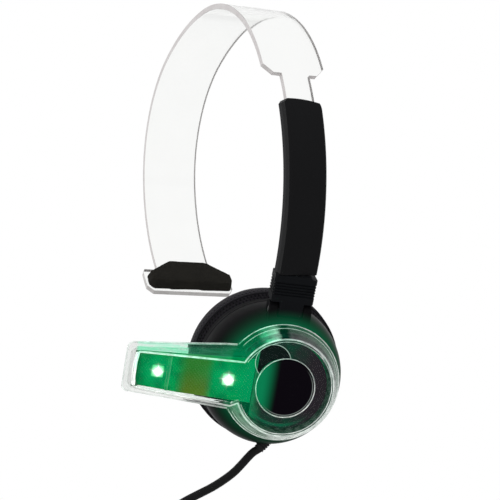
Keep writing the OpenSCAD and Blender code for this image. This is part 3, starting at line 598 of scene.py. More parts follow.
# clear shell of the boom: colourless in front; at its sides a painted colour of light, shade and reflection, and a
# painted green glow
# round the hub, a stop's place runs from 0 at the arm, down, right and up, to 1 at the arm again
shellSet = {
    "front": (0.97, 1.0, 0.98, 1),
    # painted light, shade and reflection on the sides round the hub, as stops
    "paintedSideLight": (
        (0.0, (0.25, 0.75, 0.50)), (0.10, (0.55, 0.72, 0.60)), (0.25, (0.74, 0.75, 0.72)), (0.45, (0.70, 0.70, 0.70)),
        (0.62, (0.55, 0.54, 0.55)), (0.755, (0.40, 0.38, 0.40)), (0.765, (0.05, 0.10, 0.08)),
        (0.785, (0.05, 0.12, 0.09)), (0.795, (0.75, 1.0, 0.88)), (0.83, (0.60, 0.95, 0.78)),
        (0.85, (0.08, 0.45, 0.27)), (1.0, (0.15, 0.60, 0.38)),
    ),
    # painted glow on the sides round the hub, as stops
    "paintedGlow": (
        (0.0, (0.02, 0.34, 0.15)), (0.10, (0.12, 0.26, 0.17)), (0.25, (0.32, 0.34, 0.32)), (0.42, (0.30, 0.31, 0.30)),
        (0.55, (0.17, 0.18, 0.175)), (0.70, (0.12, 0.105, 0.115)), (0.755, (0.10, 0.09, 0.10)),
        (0.765, (0.0, 0.03, 0.02)), (0.785, (0.0, 0.03, 0.02)), (0.795, (0.42, 0.72, 0.56)),
        (0.83, (0.10, 0.60, 0.33)), (0.85, (0.0, 0.10, 0.05)), (1.0, (0.0, 0.24, 0.11)),
    ),
    "armTop": (0.26, 0.68, 0.46, 1), "armGrey": (0.48, 0.58, 0.54, 1), "armLow": (0.74, 0.71, 0.71, 1),
    "tip": (0.66, 0.65, 0.65, 1), "armPaintedGlow": (0.02, 0.20, 0.10, 1), "armLowPaintedGlow": (0.05, 0.05, 0.05, 1),
    "sideFrom": 0.93, "sideTo": 0.7, "hubEdge": (26.6, 28.2), "tipFrom": (-66.0, -67.4), "waver": 0.02, "ior": 1.08,
}


def addStops(w, position, stops):
    ramp = w.tree.nodes.new("ShaderNodeValToRGB")
    elements = ramp.color_ramp.elements
    while len(elements) < len(stops):
        elements.new(0.5)
    for element, (place, tone) in zip(elements, stops):
        element.position = place
        element.color = (*tone, 1)
    w.plug(ramp.inputs[0], position)
    return ramp.outputs[0]


def shellMaterial(s, name, paintedGlow):
    material, w, shader = newMaterial(name)
    local = inFrame(w, boomPlace)
    normal = w.tree.nodes.new("ShaderNodeTexCoord").outputs["Normal"]
    facing = w.vectorMath("DOT_PRODUCT", normal, 1, tuple(hubX))
    side = w.ramp(w.math("ABSOLUTE", facing), s["sideFrom"], s["sideTo"])
    streak = w.noise(w.vectorMath("MULTIPLY", local["Local"], 1, (0.7, 0.10, 0.7)), 1.0, 3.0, 0.6)
    waver = w.math("MULTIPLY", w.math("SUBTRACT", w.noise(local["Local"], 0.5), 0.5), s["waver"])
    turn = w.math("ADD", turnShare(w, local), waver)
    onArm = w.ramp(local["Radius"], *s["hubEdge"])
    top = w.ramp(local["Z"], -1.0, 1.0)
    atTip = w.ramp(local["Y"], *s["tipFrom"])
    # painted light on the arm's sides: green and grey streaks towards its top, pale grey below, grey at the tip
    armTone = w.mix(w.ramp(streak, 0.45, 0.62), s["armTop"], s["armGrey"])
    armTone = w.mix(top, s["armLow"], armTone)
    armTone = w.mix(atTip, armTone, s["tip"])
    paintedSideLight = w.mix(onArm, addStops(w, turn, s["paintedSideLight"]), armTone)
    addLook(w, shader, w.mix(side, s["front"], paintedSideLight), w.ramp(streak, 0.2, 0.8, 0.02, 0.10))
    setPlain(shader, spec=0.08, ior=s["ior"], clear=1.0)
    # painted glow on the arm's sides: green at its top, nearly black below and at the tip
    armPaintedGlow = w.mix(top, s["armLowPaintedGlow"], s["armPaintedGlow"])
    armPaintedGlow = w.mix(atTip, armPaintedGlow, s["armLowPaintedGlow"])
    lit = w.mix(onArm, addStops(w, turn, s["paintedGlow"]), armPaintedGlow)
    amount = w.math("MULTIPLY", side, w.ramp(streak, 0.35, 0.65, 0.55, 1.2))
    addGlow(w, shader, w.mix(amount, (0, 0, 0, 1), lit), paintedGlow)
    addBump(w, shader, streak, 0.0001, 0.15)
    return material


# lit board, its whole colour a painted glow: lamps as (y, z, reach), an olive gridded middle, a line across it and
# rows of dots at both ends
boardSet = {
    "green": (0.0, 0.30, 0.07, 1), "deep": (0.0, 0.13, 0.035, 1), "olive": (0.03, 0.18, 0.02, 1),
    "oliveLowGlow": (0.085, 0.15, 0.01, 1), "white": (1.0, 1.0, 0.98, 1), "near": (0.0, 0.46, 0.17, 1),
    "inner": (0.0, 0.27, 0.09, 1), "end": (0.0, 0.05, 0.02, 1), "line": (0.25, 0.75, 0.40, 1),
    "dot": (0.015, 0.07, 0.01, 1), "unlit": (0.001, 0.02, 0.006, 1), "unlitDot": (0.001, 0.01, 0.003, 1),
    "lampTone": (0.0, 0.37, 0.085, 1), "lampBase": (0.2, 0.3, 0.25, 1),
    "lamps": ((-25.0, -0.6, 2.5), (-56.5, -0.6, 2.2)), "halo": 3.0, "stars": 0.45,
    "dotPitch": 0.8, "dotRows": (7.0, 6.0), "lineAt": -51.2, "lineHalf": (0.45, 0.15),
    "middleFrom": (-48.5, -42.5), "middleTo": (-31.0, -35.5), "endFrom": (-63.0, -65.8), "innerFrom": (-23.0, -15.0),
    "from": -13.6, "to": -66.2, "wide": 9.9, "narrow": 7.4, "low": 9.5, "high": 10.7, "rim": 0.5,
}


# the lamps' light, the same on the board and on the lamps themselves
def lampLight(w, local, tone, s):
    y, z = local["Y"], local["Z"]
    for atY, atZ, reach in s["lamps"]:
        wide = w.group(glowGroup, Y=y, Z=z, AtY=atY, AtZ=atZ, Reach=reach * s["halo"], Stars=0.0)["Mask"]
        near = w.group(glowGroup, Y=y, Z=z, AtY=atY, AtZ=atZ, Reach=reach, Stars=s["stars"])["Mask"]
        tone = w.mix(w.math("MULTIPLY", wide, 0.5), tone, s["near"])
        tone = w.mix(w.ramp(near, 0.05, 1.0), tone, s["white"])
    return tone


def boardMaterial(s):
    material, w, shader = newMaterial("litBoard")
    local = inFrame(w, boomPlace)
    y, z = local["Y"], local["Z"]
    count = math.pi / s["dotPitch"]
    cells = w.group(weaveGroup, A=y, B=z, CountA=count, CountB=count)
    middle = w.math("MULTIPLY", w.ramp(y, *s["middleFrom"]), w.ramp(y, *s["middleTo"]))
    # the olive middle's painted glow turns redder towards its lower side
    oliveTone = w.mix(w.ramp(z, 3.0, -6.5), s["olive"], s["oliveLowGlow"])
    tone = w.mix(w.ramp(w.noise(local["Local"], 0.25), 0.3, 0.75), s["green"], s["deep"])
    tone = w.mix(w.math("MULTIPLY", middle, 0.9), tone, oliveTone)
    # the painted glow fades dark towards the tip end
    tone = w.mix(w.ramp(y, *s["endFrom"], 0.0, 0.85), tone, s["end"])
    dots = w.math("MULTIPLY", cells["Gap"], w.ramp(w.math("ABSOLUTE", z), *s["dotRows"]))
    tone = w.mix(w.math("MULTIPLY", dots, 0.7), tone, w.mix(middle, s["deep"], s["dot"]))
    fromLine = w.math("ABSOLUTE", w.math("SUBTRACT", y, s["lineAt"]))
    tone = w.mix(w.math("MULTIPLY", w.ramp(fromLine, *s["lineHalf"]), 0.6), tone, s["line"])
    tone = w.mix(w.ramp(y, *s["innerFrom"]), tone, s["inner"])
    addLook(w, shader, w.mix(dots, s["unlit"], s["unlitDot"]), w.ramp(cells["Height"], 0.0, 1.0, 0.6, 0.35))
    setPlain(shader, spec=0.02)
    # everything in tone is painted glow, with the lamps' light on top
    addGlow(w, shader, lampLight(w, local, tone, s))
    addBump(w, shader, cells["Height"], 0.0001, 0.4)
    return material


def lampMaterial(s):
    material, w, shader = newMaterial("lampFace")
    local = inFrame(w, boomPlace)
    tone = lampLight(w, local, s["lampTone"], s)
    rough = w.ramp(w.noise(local["Local"], 2.0), 0, 1, 0.25, 0.4)
    addLook(w, shader, w.mix(0.15, tone, s["lampBase"]), rough)
    addGlow(w, shader, tone, 1.05)
    return material


# the white end bar glows: painted light, with patches of painted green glow
def endBarMaterial():
    material, w, shader = newMaterial("litEndBar")
    soft = w.noise(inFrame(w, boomPlace)["Local"], 0.6, 2.0)
    addLook(w, shader, w.mix(soft, (0.8, 0.82, 0.8, 1), (0.7, 0.72, 0.7, 1)), w.ramp(soft, 0, 1, 0.4, 0.5))
    green = w.ramp(soft, 0.3, 0.8, 0, 0.4)
    addGlow(w, shader, w.mix(green, (0.85, 0.86, 0.84, 1), (0.6, 0.75, 0.66, 1)), 0.95)
    return material


# black parts in the hub, lit green from the arm's side
coreSet = {
    "tone": (0.004, 0.005, 0.0055), "lit": (0.0, 0.30, 0.105, 1), "deep": (0.0, 0.05, 0.025, 1),
    "right": (0.016, 0.012, 0.016, 1), "arcTone": (0.0, 0.16, 0.07, 1), "boss": (0.002, 0.006, 0.005, 1),
    "bossTop": 12.0, "capRadius": 12.0, "arcRadius": 18.3, "arcHalf": (1.0, 0.2), "leftFrom": (-7.0, -17.5),
}
capSet = {
    "tone": (0.002, 0.0015, 0.0025), "dark": (0.0005, 0.0, 0.0008, 1), "lit": (0.0, 0.20, 0.075, 1),
    "ringTone": (0.22, 0.26, 0.24, 1), "litFrom": (-3.5, -11.0), "ring": 12.3, "ringHalf": (0.28, 0.08),
}
hubGrain = {"grain": (1200.0, 0.2), "glossSpread": 0.05, "bump": (0.000004, 0.1)}


def blackBase(w, shader, tone, rough):
    addGrain(w, shader, tone, hubGrain["grain"], (rough, hubGrain["glossSpread"]), hubGrain["bump"])
    setPlain(shader, spec=0.02)


def coreMaterial(s):
    material, w, shader = newMaterial("carrierBlack")
    local = inFrame(w, boomPlace)
    blackBase(w, shader, s["tone"], 0.3)
    y, z, radius = local["Y"], local["Z"], local["Radius"]
    streak = w.noise(w.vectorMath("MULTIPLY", local["Local"], 1, (0.2, 0.3, 0.3)), 1.0, 3.0, 0.6)
    # all of this is painted light: green on the arm's side, deep green above and below with painted light arcs, grey
    # on the right
    left = w.math("MULTIPLY", w.ramp(y, *s["leftFrom"]), w.ramp(streak, 0.3, 0.6, 0.65, 1.1))
    upper = w.math("MULTIPLY", w.ramp(z, 5.0, 15.0), w.ramp(y, 14.0, -6.0))
    lower = w.math("MULTIPLY", w.ramp(z, -8.0, -17.0), w.ramp(y, 17.0, 0.0))
    fromArc = w.math("ABSOLUTE", w.math("SUBTRACT", radius, s["arcRadius"]))
    arcs = w.math("MULTIPLY", w.ramp(fromArc, *s["arcHalf"]), lower)
    deepShare = w.math("MAXIMUM", upper, w.math("MULTIPLY", lower, 0.6))
    deepShare = w.math("MULTIPLY", deepShare, w.ramp(streak, 0.3, 0.7, 0.4, 1.3))
    tone = w.mix(deepShare, s["right"], s["deep"])
    tone = w.mix(w.math("MULTIPLY", arcs, 0.5), tone, s["arcTone"])
    tone = w.mix(left, tone, s["lit"])
    # in the hollow below the boss top the glow is darker: painted shade
    hollow = w.math("MULTIPLY", w.math("LESS_THAN", local["X"], s["bossTop"]),
                    w.math("GREATER_THAN", radius, s["capRadius"]))
    addGlow(w, shader, w.mix(hollow, s["boss"], tone))
    return material


def capMaterial(s):
    material, w, shader = newMaterial("capBlack")
    local = inFrame(w, boomPlace)
    blackBase(w, shader, s["tone"], 0.16)
    # a painted green reflection on the cap's left side
    tone = w.mix(w.ramp(local["Y"], *s["litFrom"]), s["dark"], s["lit"])
    # a painted highlight line round the cap, on one side
    around = w.ramp(w.math("SUBTRACT", local["Y"], local["Z"]), -2.0, 12.0)
    ring = w.ramp(w.math("ABSOLUTE", w.math("SUBTRACT", local["Radius"], s["ring"])), *s["ringHalf"])
    ring = w.math("MULTIPLY", ring, w.math("MULTIPLY", around, 0.8))
    addGlow(w, shader, w.mix(ring, tone, s["ringTone"]))
    return material


# the hub's light on the black parts round it
glowSet = {"tone": (0.0, 0.13, 0.05, 1), "from": 25.0, "to": 33.5, "fall": 1.7, "depth": (-14.0, 0.0),
           "way": (-30.0, 26.0), "lean": 0.5, "least": 0.35}


def hubGlow(w, local, s):
    spread = w.math("POWER", w.ramp(local["Radius"], s["to"], s["from"], 0.0, 1.0, False), s["fall"])
    outer = w.ramp(local["X"], *s["depth"])
    height = w.math("SUBTRACT", local["Z"], w.math("MULTIPLY", local["Y"], s["lean"]))
    way = w.ramp(height, *s["way"], s["least"], 1.0)
    return w.mix(w.math("MULTIPLY", w.math("MULTIPLY", spread, outer), way), (0, 0, 0, 1), s["tone"])


def glowingBlack(name, tone, gloss, spec):
    material, w, shader = newMaterial(name)
    addGrain(w, shader, tone, (1500.0, 0.3), (gloss, 0.12), (0.00003, 0.4))
    setPlain(shader, spec=spec)
    addGlow(w, shader, hubGlow(w, inFrame(w, hubPlace), glowSet))
    return material


# open mesh fabric, its cells laid round the cushion
fabricSet = {
    "thread": (0.016, 0.0145, 0.018, 1), "worn": (0.024, 0.022, 0.027, 1), "gap": (0.004, 0.004, 0.005, 1),
    "around": 118.0, "across": 21.0, "midRadius": 27.6, "midDepth": -30.8,
}


def fabricMaterial(s):
    material, w, shader = newMaterial("meshFabric")
    local = inFrame(w, cupPlace)
    tube = w.math("ARCTAN2", w.math("SUBTRACT", local["X"], s["midDepth"]),
                  w.math("SUBTRACT", local["Radius"], s["midRadius"]))
    cells = w.group(weaveGroup, A=local["Around"], B=tube, CountA=s["around"], CountB=s["across"])
    fuzz = w.noise(local["Local"], 3.0, 2.0)
    thread = w.mix(w.ramp(fuzz, 0.3, 0.8), s["thread"], s["worn"])
    addLook(w, shader, w.mix(cells["Gap"], thread, s["gap"]), w.ramp(fuzz, 0, 1, 0.75, 0.95))
    setPlain(shader, spec=0.1)
    shader.inputs["Sheen Weight"].default_value = 0.05
    shader.inputs["Sheen Roughness"].default_value = 0.5
    addBump(w, shader, cells["Height"], 0.0005, 0.9)
    return material


def flatWeaveMaterial(name, place, tone, gap, pitch):
    material, w, shader = newMaterial(name)
    local = inFrame(w, place)
    cells = w.group(weaveGroup, A=local["Y"], B=local["Z"], CountA=math.pi / pitch, CountB=math.pi / pitch)
    addLook(w, shader, w.mix(cells["Gap"], (*tone, 1), (*gap, 1)), w.ramp(cells["Height"], 0, 1, 0.95, 0.8))
    setPlain(shader, spec=0.1)
    addBump(w, shader, cells["Height"], 0.0003, 0.7)
    return material


def foamMaterial():
    material, w, shader = newMaterial("openFoam")
    place = w.objectPlace()
    pores = w.tree.nodes.new("ShaderNodeTexVoronoi")
    w.plug(pores.inputs["Vector"], place)
    pores.inputs["Scale"].default_value = 1700.0
    pore = w.ramp(pores.outputs["Distance"], 0.1, 0.6)
    broad = w.noise(place, 120.0)
    tone = w.mix(pore, (0.006, 0.006, 0.005, 1), (0.013, 0.012, 0.010, 1))
    tone = w.mix(w.ramp(broad, 0.35, 0.7, 0.0, 0.4), tone, (0.018, 0.017, 0.014, 1))
    addLook(w, shader, tone, w.ramp(broad, 0, 1, 0.85, 1.0))
    setPlain(shader, spec=0.08)
    addBump(w, shader, pore, 0.0002, 0.8)
    return material


# clear beads along the boom's edges, green or white where light leaves them
beadTones = {
    "ring": (
        (0.0, (0.30, 0.62, 0.46)), (0.12, (0.42, 0.50, 0.45)), (0.30, (0.50, 0.50, 0.49)), (0.50, (0.36, 0.36, 0.36)),
        (0.70, (0.30, 0.31, 0.31)), (0.80, (0.36, 0.66, 0.52)), (1.0, (0.30, 0.62, 0.46)),
    ),
    "cap": (
        (0.0, (0.20, 0.52, 0.36)), (0.14, (0.10, 0.24, 0.16)), (0.30, (0.46, 0.46, 0.44)), (0.45, (0.40, 0.40, 0.40)),
        (0.58, (0.10, 0.13, 0.12)), (0.75, (0.10, 0.16, 0.13)), (0.88, (0.25, 0.42, 0.34)), (1.0, (0.20, 0.52, 0.36)),
    ),
    "guide": (
        (0.0, (0.0, 0.26, 0.11)), (0.12, (0.02, 0.12, 0.06)), (0.25, (0.03, 0.05, 0.04)), (0.45, (0.03, 0.045, 0.04)),
        (0.62, (0.02, 0.045, 0.035)), (0.73, (0.02, 0.05, 0.035)), (0.80, (0.0, 0.10, 0.05)), (1.0, (0.0, 0.26, 0.11)),
    ),
    "dim": (0.0, 0.11, 0.055, 1), "rim": (0.30, 0.31, 0.30, 1), "armTop": (0.34, 0.70, 0.52, 1),
    "armTopFar": (0.58, 0.88, 0.73, 1), "armLow": (0.30, 0.27, 0.27, 1),
}


def ringTone(w, local):
    return addStops(w, turnShare(w, local), beadTones["ring"])


def capRingTone(w, local):
    return addStops(w, turnShare(w, local), beadTones["cap"])


def outlineTone(w, local):
    top = w.mix(w.ramp(local["Y"], -40.0, -66.0), beadTones["armTop"], beadTones["armTopFar"])
    arm = w.mix(w.ramp(local["Z"], -1.0, 1.0), beadTones["armLow"], top)
    return w.mix(w.ramp(local["Radius"], 22.6, 24.5), ringTone(w, local), arm)


def beadMaterial(name, makeTone, strength=1.0, clear=0.85):
    material, w, shader = newMaterial(name)
    local = inFrame(w, boomPlace)
    streak = w.noise(local["Local"], 0.35, 2.0)
    tone = w.mix(streak, (0.78, 0.86, 0.82, 1), (0.92, 0.95, 0.93, 1))
    addLook(w, shader, tone, w.ramp(streak, 0, 1, 0.08, 0.2))
    setPlain(shader, spec=0.1, ior=1.3, clear=clear)
    lit = w.ramp(streak, 0.35, 0.65, 0.5, 1.0)
    addGlow(w, shader, w.mix(lit, (0, 0, 0, 1), makeTone(w, local)), strength)
    return material


# the light guide's glow is painted light, green near the arm
def guideMaterial():
    material, w, shader = newMaterial("lightGuide")
    local = inFrame(w, boomPlace)
    streak = w.noise(local["Local"], 0.4, 3.0, 0.6)
    addLook(w, shader, w.mix(streak, (0.01, 0.03, 0.02, 1), (0.02, 0.05, 0.03, 1)), w.ramp(streak, 0, 1, 0.2, 0.35))
    setPlain(shader, spec=0.1)
    lit = w.ramp(streak, 0.4, 0.65, 0.2, 1.0)
    addGlow(w, shader, w.mix(lit, (0, 0.01, 0.005, 1), addStops(w, turnShare(w, local), beadTones["guide"])))
    return material


def metalMaterial(name, tone, rough):
    material, w, shader = newMaterial(name)
    brush = w.noise(w.objectPlace(), 2500.0, 2.0)
    darker = [t * 0.8 for t in tone]
    addLook(w, shader, w.mix(brush, (*tone, 1), (*darker, 1)), w.ramp(brush, 0.2, 0.8, rough, rough + 0.15))
    setPlain(shader, metal=1.0)
    return material


# every finish by its short name
looks = {
    "clearStrip": stripMaterial(stripSet),
    "stripEdge": stripEdgeMaterial(stripSet),
    "frontShell": shellMaterial(shellSet, "frontShellClear", 0.45),
    "backShell": shellMaterial(shellSet, "backShellClear", 0.3),
    "board": boardMaterial(boardSet),
    "lamp": lampMaterial(boardSet),
    "endBar": endBarMaterial(),
    "core": coreMaterial(coreSet),
    "cap": capMaterial(capSet),
    "housing": glowingBlack("housingBlack", (0.0045, 0.0045, 0.005), 0.36, 0.012),
    "fabric": fabricMaterial(fabricSet),
    "piping": flatWeaveMaterial("pipingCloth", cupPlace, (0.016, 0.015, 0.018), (0.008, 0.008, 0.009), 0.5),
    "grille": flatWeaveMaterial("grilleCloth", cupPlace, (0.02, 0.02, 0.022), (0.006, 0.006, 0.006), 0.45),
    "strap": flatWeaveMaterial("strapCloth", Matrix.Identity(4), (0.02, 0.02, 0.02), (0.01, 0.01, 0.01), 0.5),
    "foam": foamMaterial(),
    "bead": beadMaterial("litBead", ringTone, 0.5),
    "dimBead": beadMaterial("dimBead", lambda w, local: beadTones["dim"], 1.0, 0.3),
    "outlineBead": beadMaterial("outlineBead", outlineTone, 0.5),
    "capBead": beadMaterial("capBead", capRingTone, 0.6),
    "rimBead": beadMaterial("rimBead", lambda w, local: beadTones["rim"], 0.5, 0.8),
    "guide": guideMaterial(),
    "stem": plasticMaterial("stemBlack", (0.0055, 0.0055, 0.006), 0.48, 0.05),
    "stemInner": plasticMaterial("stemInnerBlack", (0.009, 0.009, 0.010), 0.5, 0.08),
    "neck": glowingBlack("neckBlack", (0.005, 0.0055, 0.0065), 0.42, 0.03),
    "black": plasticMaterial("innerBlack", (0.008, 0.008, 0.009), 0.5, 0.08),
    "cord": plasticMaterial("cordBlack", (0.007, 0.007, 0.007), 0.5, 0.08, 900.0, 0.00005),
    "rubber": plasticMaterial("reliefRubber", (0.009, 0.009, 0.009), 0.6, 0.12, 1100.0, 0.00005),
    "white": plasticMaterial("whitePlastic", (0.80, 0.82, 0.80), 0.4, 0.4, 900.0, 0.00002, 0.08),
    "nylon": plasticMaterial("washerNylon", (0.72, 0.70, 0.64), 0.45, 0.3, 900.0, 0.00002, 0.08),
    "tape": plasticMaterial("tapeFilm", (0.55, 0.54, 0.50), 0.6, 0.2, 700.0, 0.00003, 0.15),
    "paper": plasticMaterial("conePaper", (0.05, 0.045, 0.04), 0.85, 0.1, 1600.0, 0.0001, 0.4),
    "steel": metalMaterial("pinSteel", (0.52, 0.52, 0.53), 0.28),
    "spring": metalMaterial("springSteel", (0.60, 0.58, 0.54), 0.2),
    "nickel": metalMaterial("contactNickel", (0.68, 0.66, 0.60), 0.14),
}
print("stage: materials,", len(looks))

# every CAD node's own finish
kept = {
    "headband_strip": "clearStrip", "pad_adhesive": "tape", "detent_spring": "spring", "stem_screws": "steel",
    "swivel_pin": "steel", "tilt_pin": "steel", "baffle_plate": "black", "speaker_frame": "steel",
    "speaker_magnet": "steel", "speaker_cone": "paper", "cushion_ring": "black", "baffle_screws": "steel",
    "pivot_shaft": "steel", "pivot_clip": "spring", "friction_washer": "nylon", "circuit_board": "board",
    "lamps": "lamp", "end_strip": "endBar", "mic_capsule": "steel", "mic_boot": "rubber", "boom_screws": "steel",
    "plug_grip": "rubber", "plug_contact": "nickel", "plug_rings": "black", "boom_back_shell": "backShell",
    "boom_front_shell": "frontShell", "hub_core": "core", "hub_cap": "cap", "cup_housing": "housing",
    "stem_outer_cover": "stem", "stem_inner_cover": "stemInner", "neck_block": "neck", "neck_back_cover": "neck",
    "cord_tie": "strap", "ear_cushion": "fabric", "temple_pad": "foam", "grille_cloth": "grille",
    "cord_gland": "rubber", "cord": "cord", "cord_coil": "cord", "cord_tail": "cord",
}
for name, look in kept.items():
    mesh = nodes[name].data
    mesh.materials.clear()
    mesh.materials.append(looks[look])
    for polygon in mesh.polygons:
        polygon.material_index = 0
print("stage: CAD finishes")

voiceCord.data.materials.append(looks["cord"])
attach(voiceCord, "ear_cup")
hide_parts("cord", "cord_coil", "cord_tail")

# moulded parts: name, edge width, segments, edge angle, body, look, slot
roundedSet = {
    "stem_outer_cover": ("stemCover", 0.5, 3, 28, "stem", "stem", "black_plastic"),
    "stem_inner_cover": ("stemLiner", 0.3, 2, 28, "stem", "stemInner", "black_plastic"),
    "neck_block": ("neckBody", 0.22, 2, 30, "neck", "neck", "black_plastic"),
    "neck_back_cover": ("neckBack", 0.22, 2, 30, "neck", "neck", "black_plastic"),
    "cup_housing": ("cupShell", 0.35, 2, 30, "ear_cup", "housing", "black_plastic"),
    "boom_front_shell": ("boomFront", 0.45, 3, 25, "boom", "frontShell", "clear_shell"),
    "boom_back_shell": ("boomBack", 0.3, 2, 25, "boom", "backShell", "clear_shell"),
    "cord_tie": ("coilStrap", 0.3, 2, 30, "ear_cup", "strap", "cord_black"),
    "hub_core": ("lampCarrier", 0.15, 2, 30, "boom", "core", "gloss_black"),
    "hub_cap": ("hubCover", 0.25, 3, 25, "boom", "cap", "gloss_black"),
}
for nodeName, (name, width, segments, degrees, body, look, slotName) in roundedSet.items():
    piece = dressedCopy(nodeName, name, width * mm, segments, degrees, onArm=slotName == "clear_shell")
    finishPiece(piece, body, looks[look], [nodeName])


# the strip's broad faces are clear and its cut edges have their own finish
def makeStrip(s):
    piece = dressedCopy("headband_strip", "clearBand", s["edgeRound"], 2, 40, 25)
    sideSpot = Vector(joints["stem_slide"]["pos_m"])

    def onFoot(p):
        return p.center.z < s["footTop"] and p.center.x < 0

    plate = max(filter(onFoot, piece.data.polygons), key=lambda p: p.area).normal.copy()
    finishPiece(piece, "headband", looks["clearStrip"], ["headband_strip"])
    piece.data.materials.append(looks["stripEdge"])
    for p in piece.data.polygons:
        across = ((p.center - sideSpot) * Vector((1, 0, 1))).normalized()
        cut = abs(p.normal.y) > 0.6
        if p.center.x > s["stemSide"] and p.center.z < s["archTop"]:
            cut = cut or abs(p.normal.dot(across)) < 0.5
        if onFoot(p):
            cut = abs(p.normal.dot(plate)) < 0.5
        p.material_index = 1 if cut else 0


makeStrip(stripSet)


clothFrames = 20


# a soft piece: a copy of the solid, drawn in a little and blown up as cloth
def swollenCopy(nodeName, name, s):
    piece = meshCopy(nodeName, name)
    remesh = piece.modifiers.new("grid", "REMESH")
    remesh.mode = "VOXEL"
    remesh.voxel_size = s["voxel"]
    smooth = piece.modifiers.new("relax", "SMOOTH")
    smooth.factor = 0.5
    smooth.iterations = s["relax"]
    applyAll(piece)
    for vertex in piece.data.vertices:
        vertex.co -= vertex.normal * s["drawIn"]
    start = [v.co.copy() for v in piece.data.vertices]
    cloth = piece.modifiers.new("cloth", "CLOTH")
    cloth.settings.quality = 6
    cloth.settings.mass = 0.1
    cloth.settings.use_pressure = True
    cloth.settings.uniform_pressure_force = s["pressure"]
    cloth.settings.tension_stiffness = s["stiff"]
    cloth.settings.compression_stiffness = s["stiff"]
    cloth.settings.shear_stiffness = 5
    cloth.settings.effector_weights.gravity = 0
    cloth.point_cache.frame_start = 1
    cloth.point_cache.frame_end = clothFrames
    for step in range(1, clothFrames + 1):
        bpy.context.scene.frame_set(step)
    graph = bpy.context.evaluated_depsgraph_get()
    moved = [v.co.copy() for v in piece.evaluated_get(graph).data.vertices]
    piece.modifiers.remove(cloth)
    bpy.context.scene.frame_set(1)
    for vertex, a, b in zip(piece.data.vertices, start, moved):
        way = b - a
        if way.length > s["cap"]:
            way = way.normalized() * s["cap"]
        vertex.co = a + way
    return piece


def refine(piece):
    piece.modifiers.new("fine", "SUBSURF").levels = 1
    applyAll(piece)
    smoothBy(piece, 180)


cushionSet = {"voxel": 1.6 * mm, "relax": 3, "drawIn": 0.5 * mm, "pressure": 4.0, "stiff": 12, "cap": 1.2 * mm,
              "base": -22.02 * mm}
padSet = {"voxel": 0.7 * mm, "relax": 1, "drawIn": 0.0, "pressure": 4.0, "stiff": 60, "cap": 0.3 * mm}


def makeCushion(s):
    piece = swollenCopy("ear_cushion", "earCushion", s)
    inverse = cupPlace.inverted()
    for vertex in piece.data.vertices:
        local = inverse @ vertex.co
        if local.x > s["base"]:
            local.x = s["base"]
            vertex.co = cupPlace @ local
    refine(piece)
    finishPiece(piece, "ear_cup", looks["fabric"], ["ear_cushion"])
    return piece


def makePad(s):
    piece = swollenCopy("temple_pad", "templeRest", s)
    refine(piece)
    finishPiece(piece, "headband", looks["foam"], ["temple_pad"])
    return piece


earCushion = makeCushion(cushionSet)
templeRest = makePad(padSet)
print("stage: soft pieces", len(earCushion.data.polygons), len(templeRest.data.polygons))

def ringProfile(radius, depth, half, points=8):
    turns = [2 * math.pi * i / points for i in range(points)]
    return [((depth + half * math.sin(t)) * mm, (radius + half * math.cos(t)) * mm) for t in turns]


# a whole ring of round section, given as (radius, depth, half of its thickness)
def makeRing(name, sizes, steps, place, body, look):
    piece = turnedPiece(name, ringProfile(*sizes), steps, place)
    finishPiece(piece, body, looks[look])


for name, sizes in {"outerPiping": (35.1, -23.6, 0.55), "innerPiping": (20.4, -38.0, 0.45)}.items():
    makeRing(name, sizes, 128, cupPlace, "ear_cup", "piping")

grilleSet = {"radius": 22.2 * mm, "depth": -22.0 * mm, "crown": 0.21 * mm, "rings": 9, "thick": 0.25 * mm}


def makeGrille(s):
    deselectAll()
    bpy.ops.mesh.primitive_circle_add(vertices=64, radius=s["radius"], fill_type="NGON")
    piece = bpy.context.object
    piece.name = "speakerCloth"
    bpy.ops.object.mode_set(mode="EDIT")
    bpy.ops.mesh.select_all(action="SELECT")
    for _ in range(s["rings"]):
        bpy.ops.mesh.inset(thickness=s["radius"] / (s["rings"] + 1))
    bpy.ops.mesh.poke()
    bpy.ops.object.mode_set(mode="OBJECT")
    for vertex in piece.data.vertices:
        share = min(vertex.co.to_2d().length / s["radius"], 1)
        vertex.co.z = s["crown"] * (1 - share * share)
    settle(piece, cupPlace @ Matrix.Translation((s["depth"], 0, 0)) @ zToX)
    thick = piece.modifiers.new("thick", "SOLIDIFY")
    thick.thickness = s["thick"]
    thick.offset = 0
    applyAll(piece)
    smoothBy(piece, 50)
    finishPiece(piece, "ear_cup", looks["grille"], ["grille_cloth"])


makeGrille(grilleSet)
print("stage: cushion trim")

# strain relief: a tapered, ribbed sleeve on the gland's axis
reliefSet = {
    "at": (-3.3, 1.4, -30.0), "lean": 31.5, "inside": 4.0, "out": 5.5, "flange": (1.2, 4.0), "neck": 3.0,
    "ribs": 4, "bore": 2.0, "mouth": 2.4, "taper": 0.12, "groove": 0.45,
}


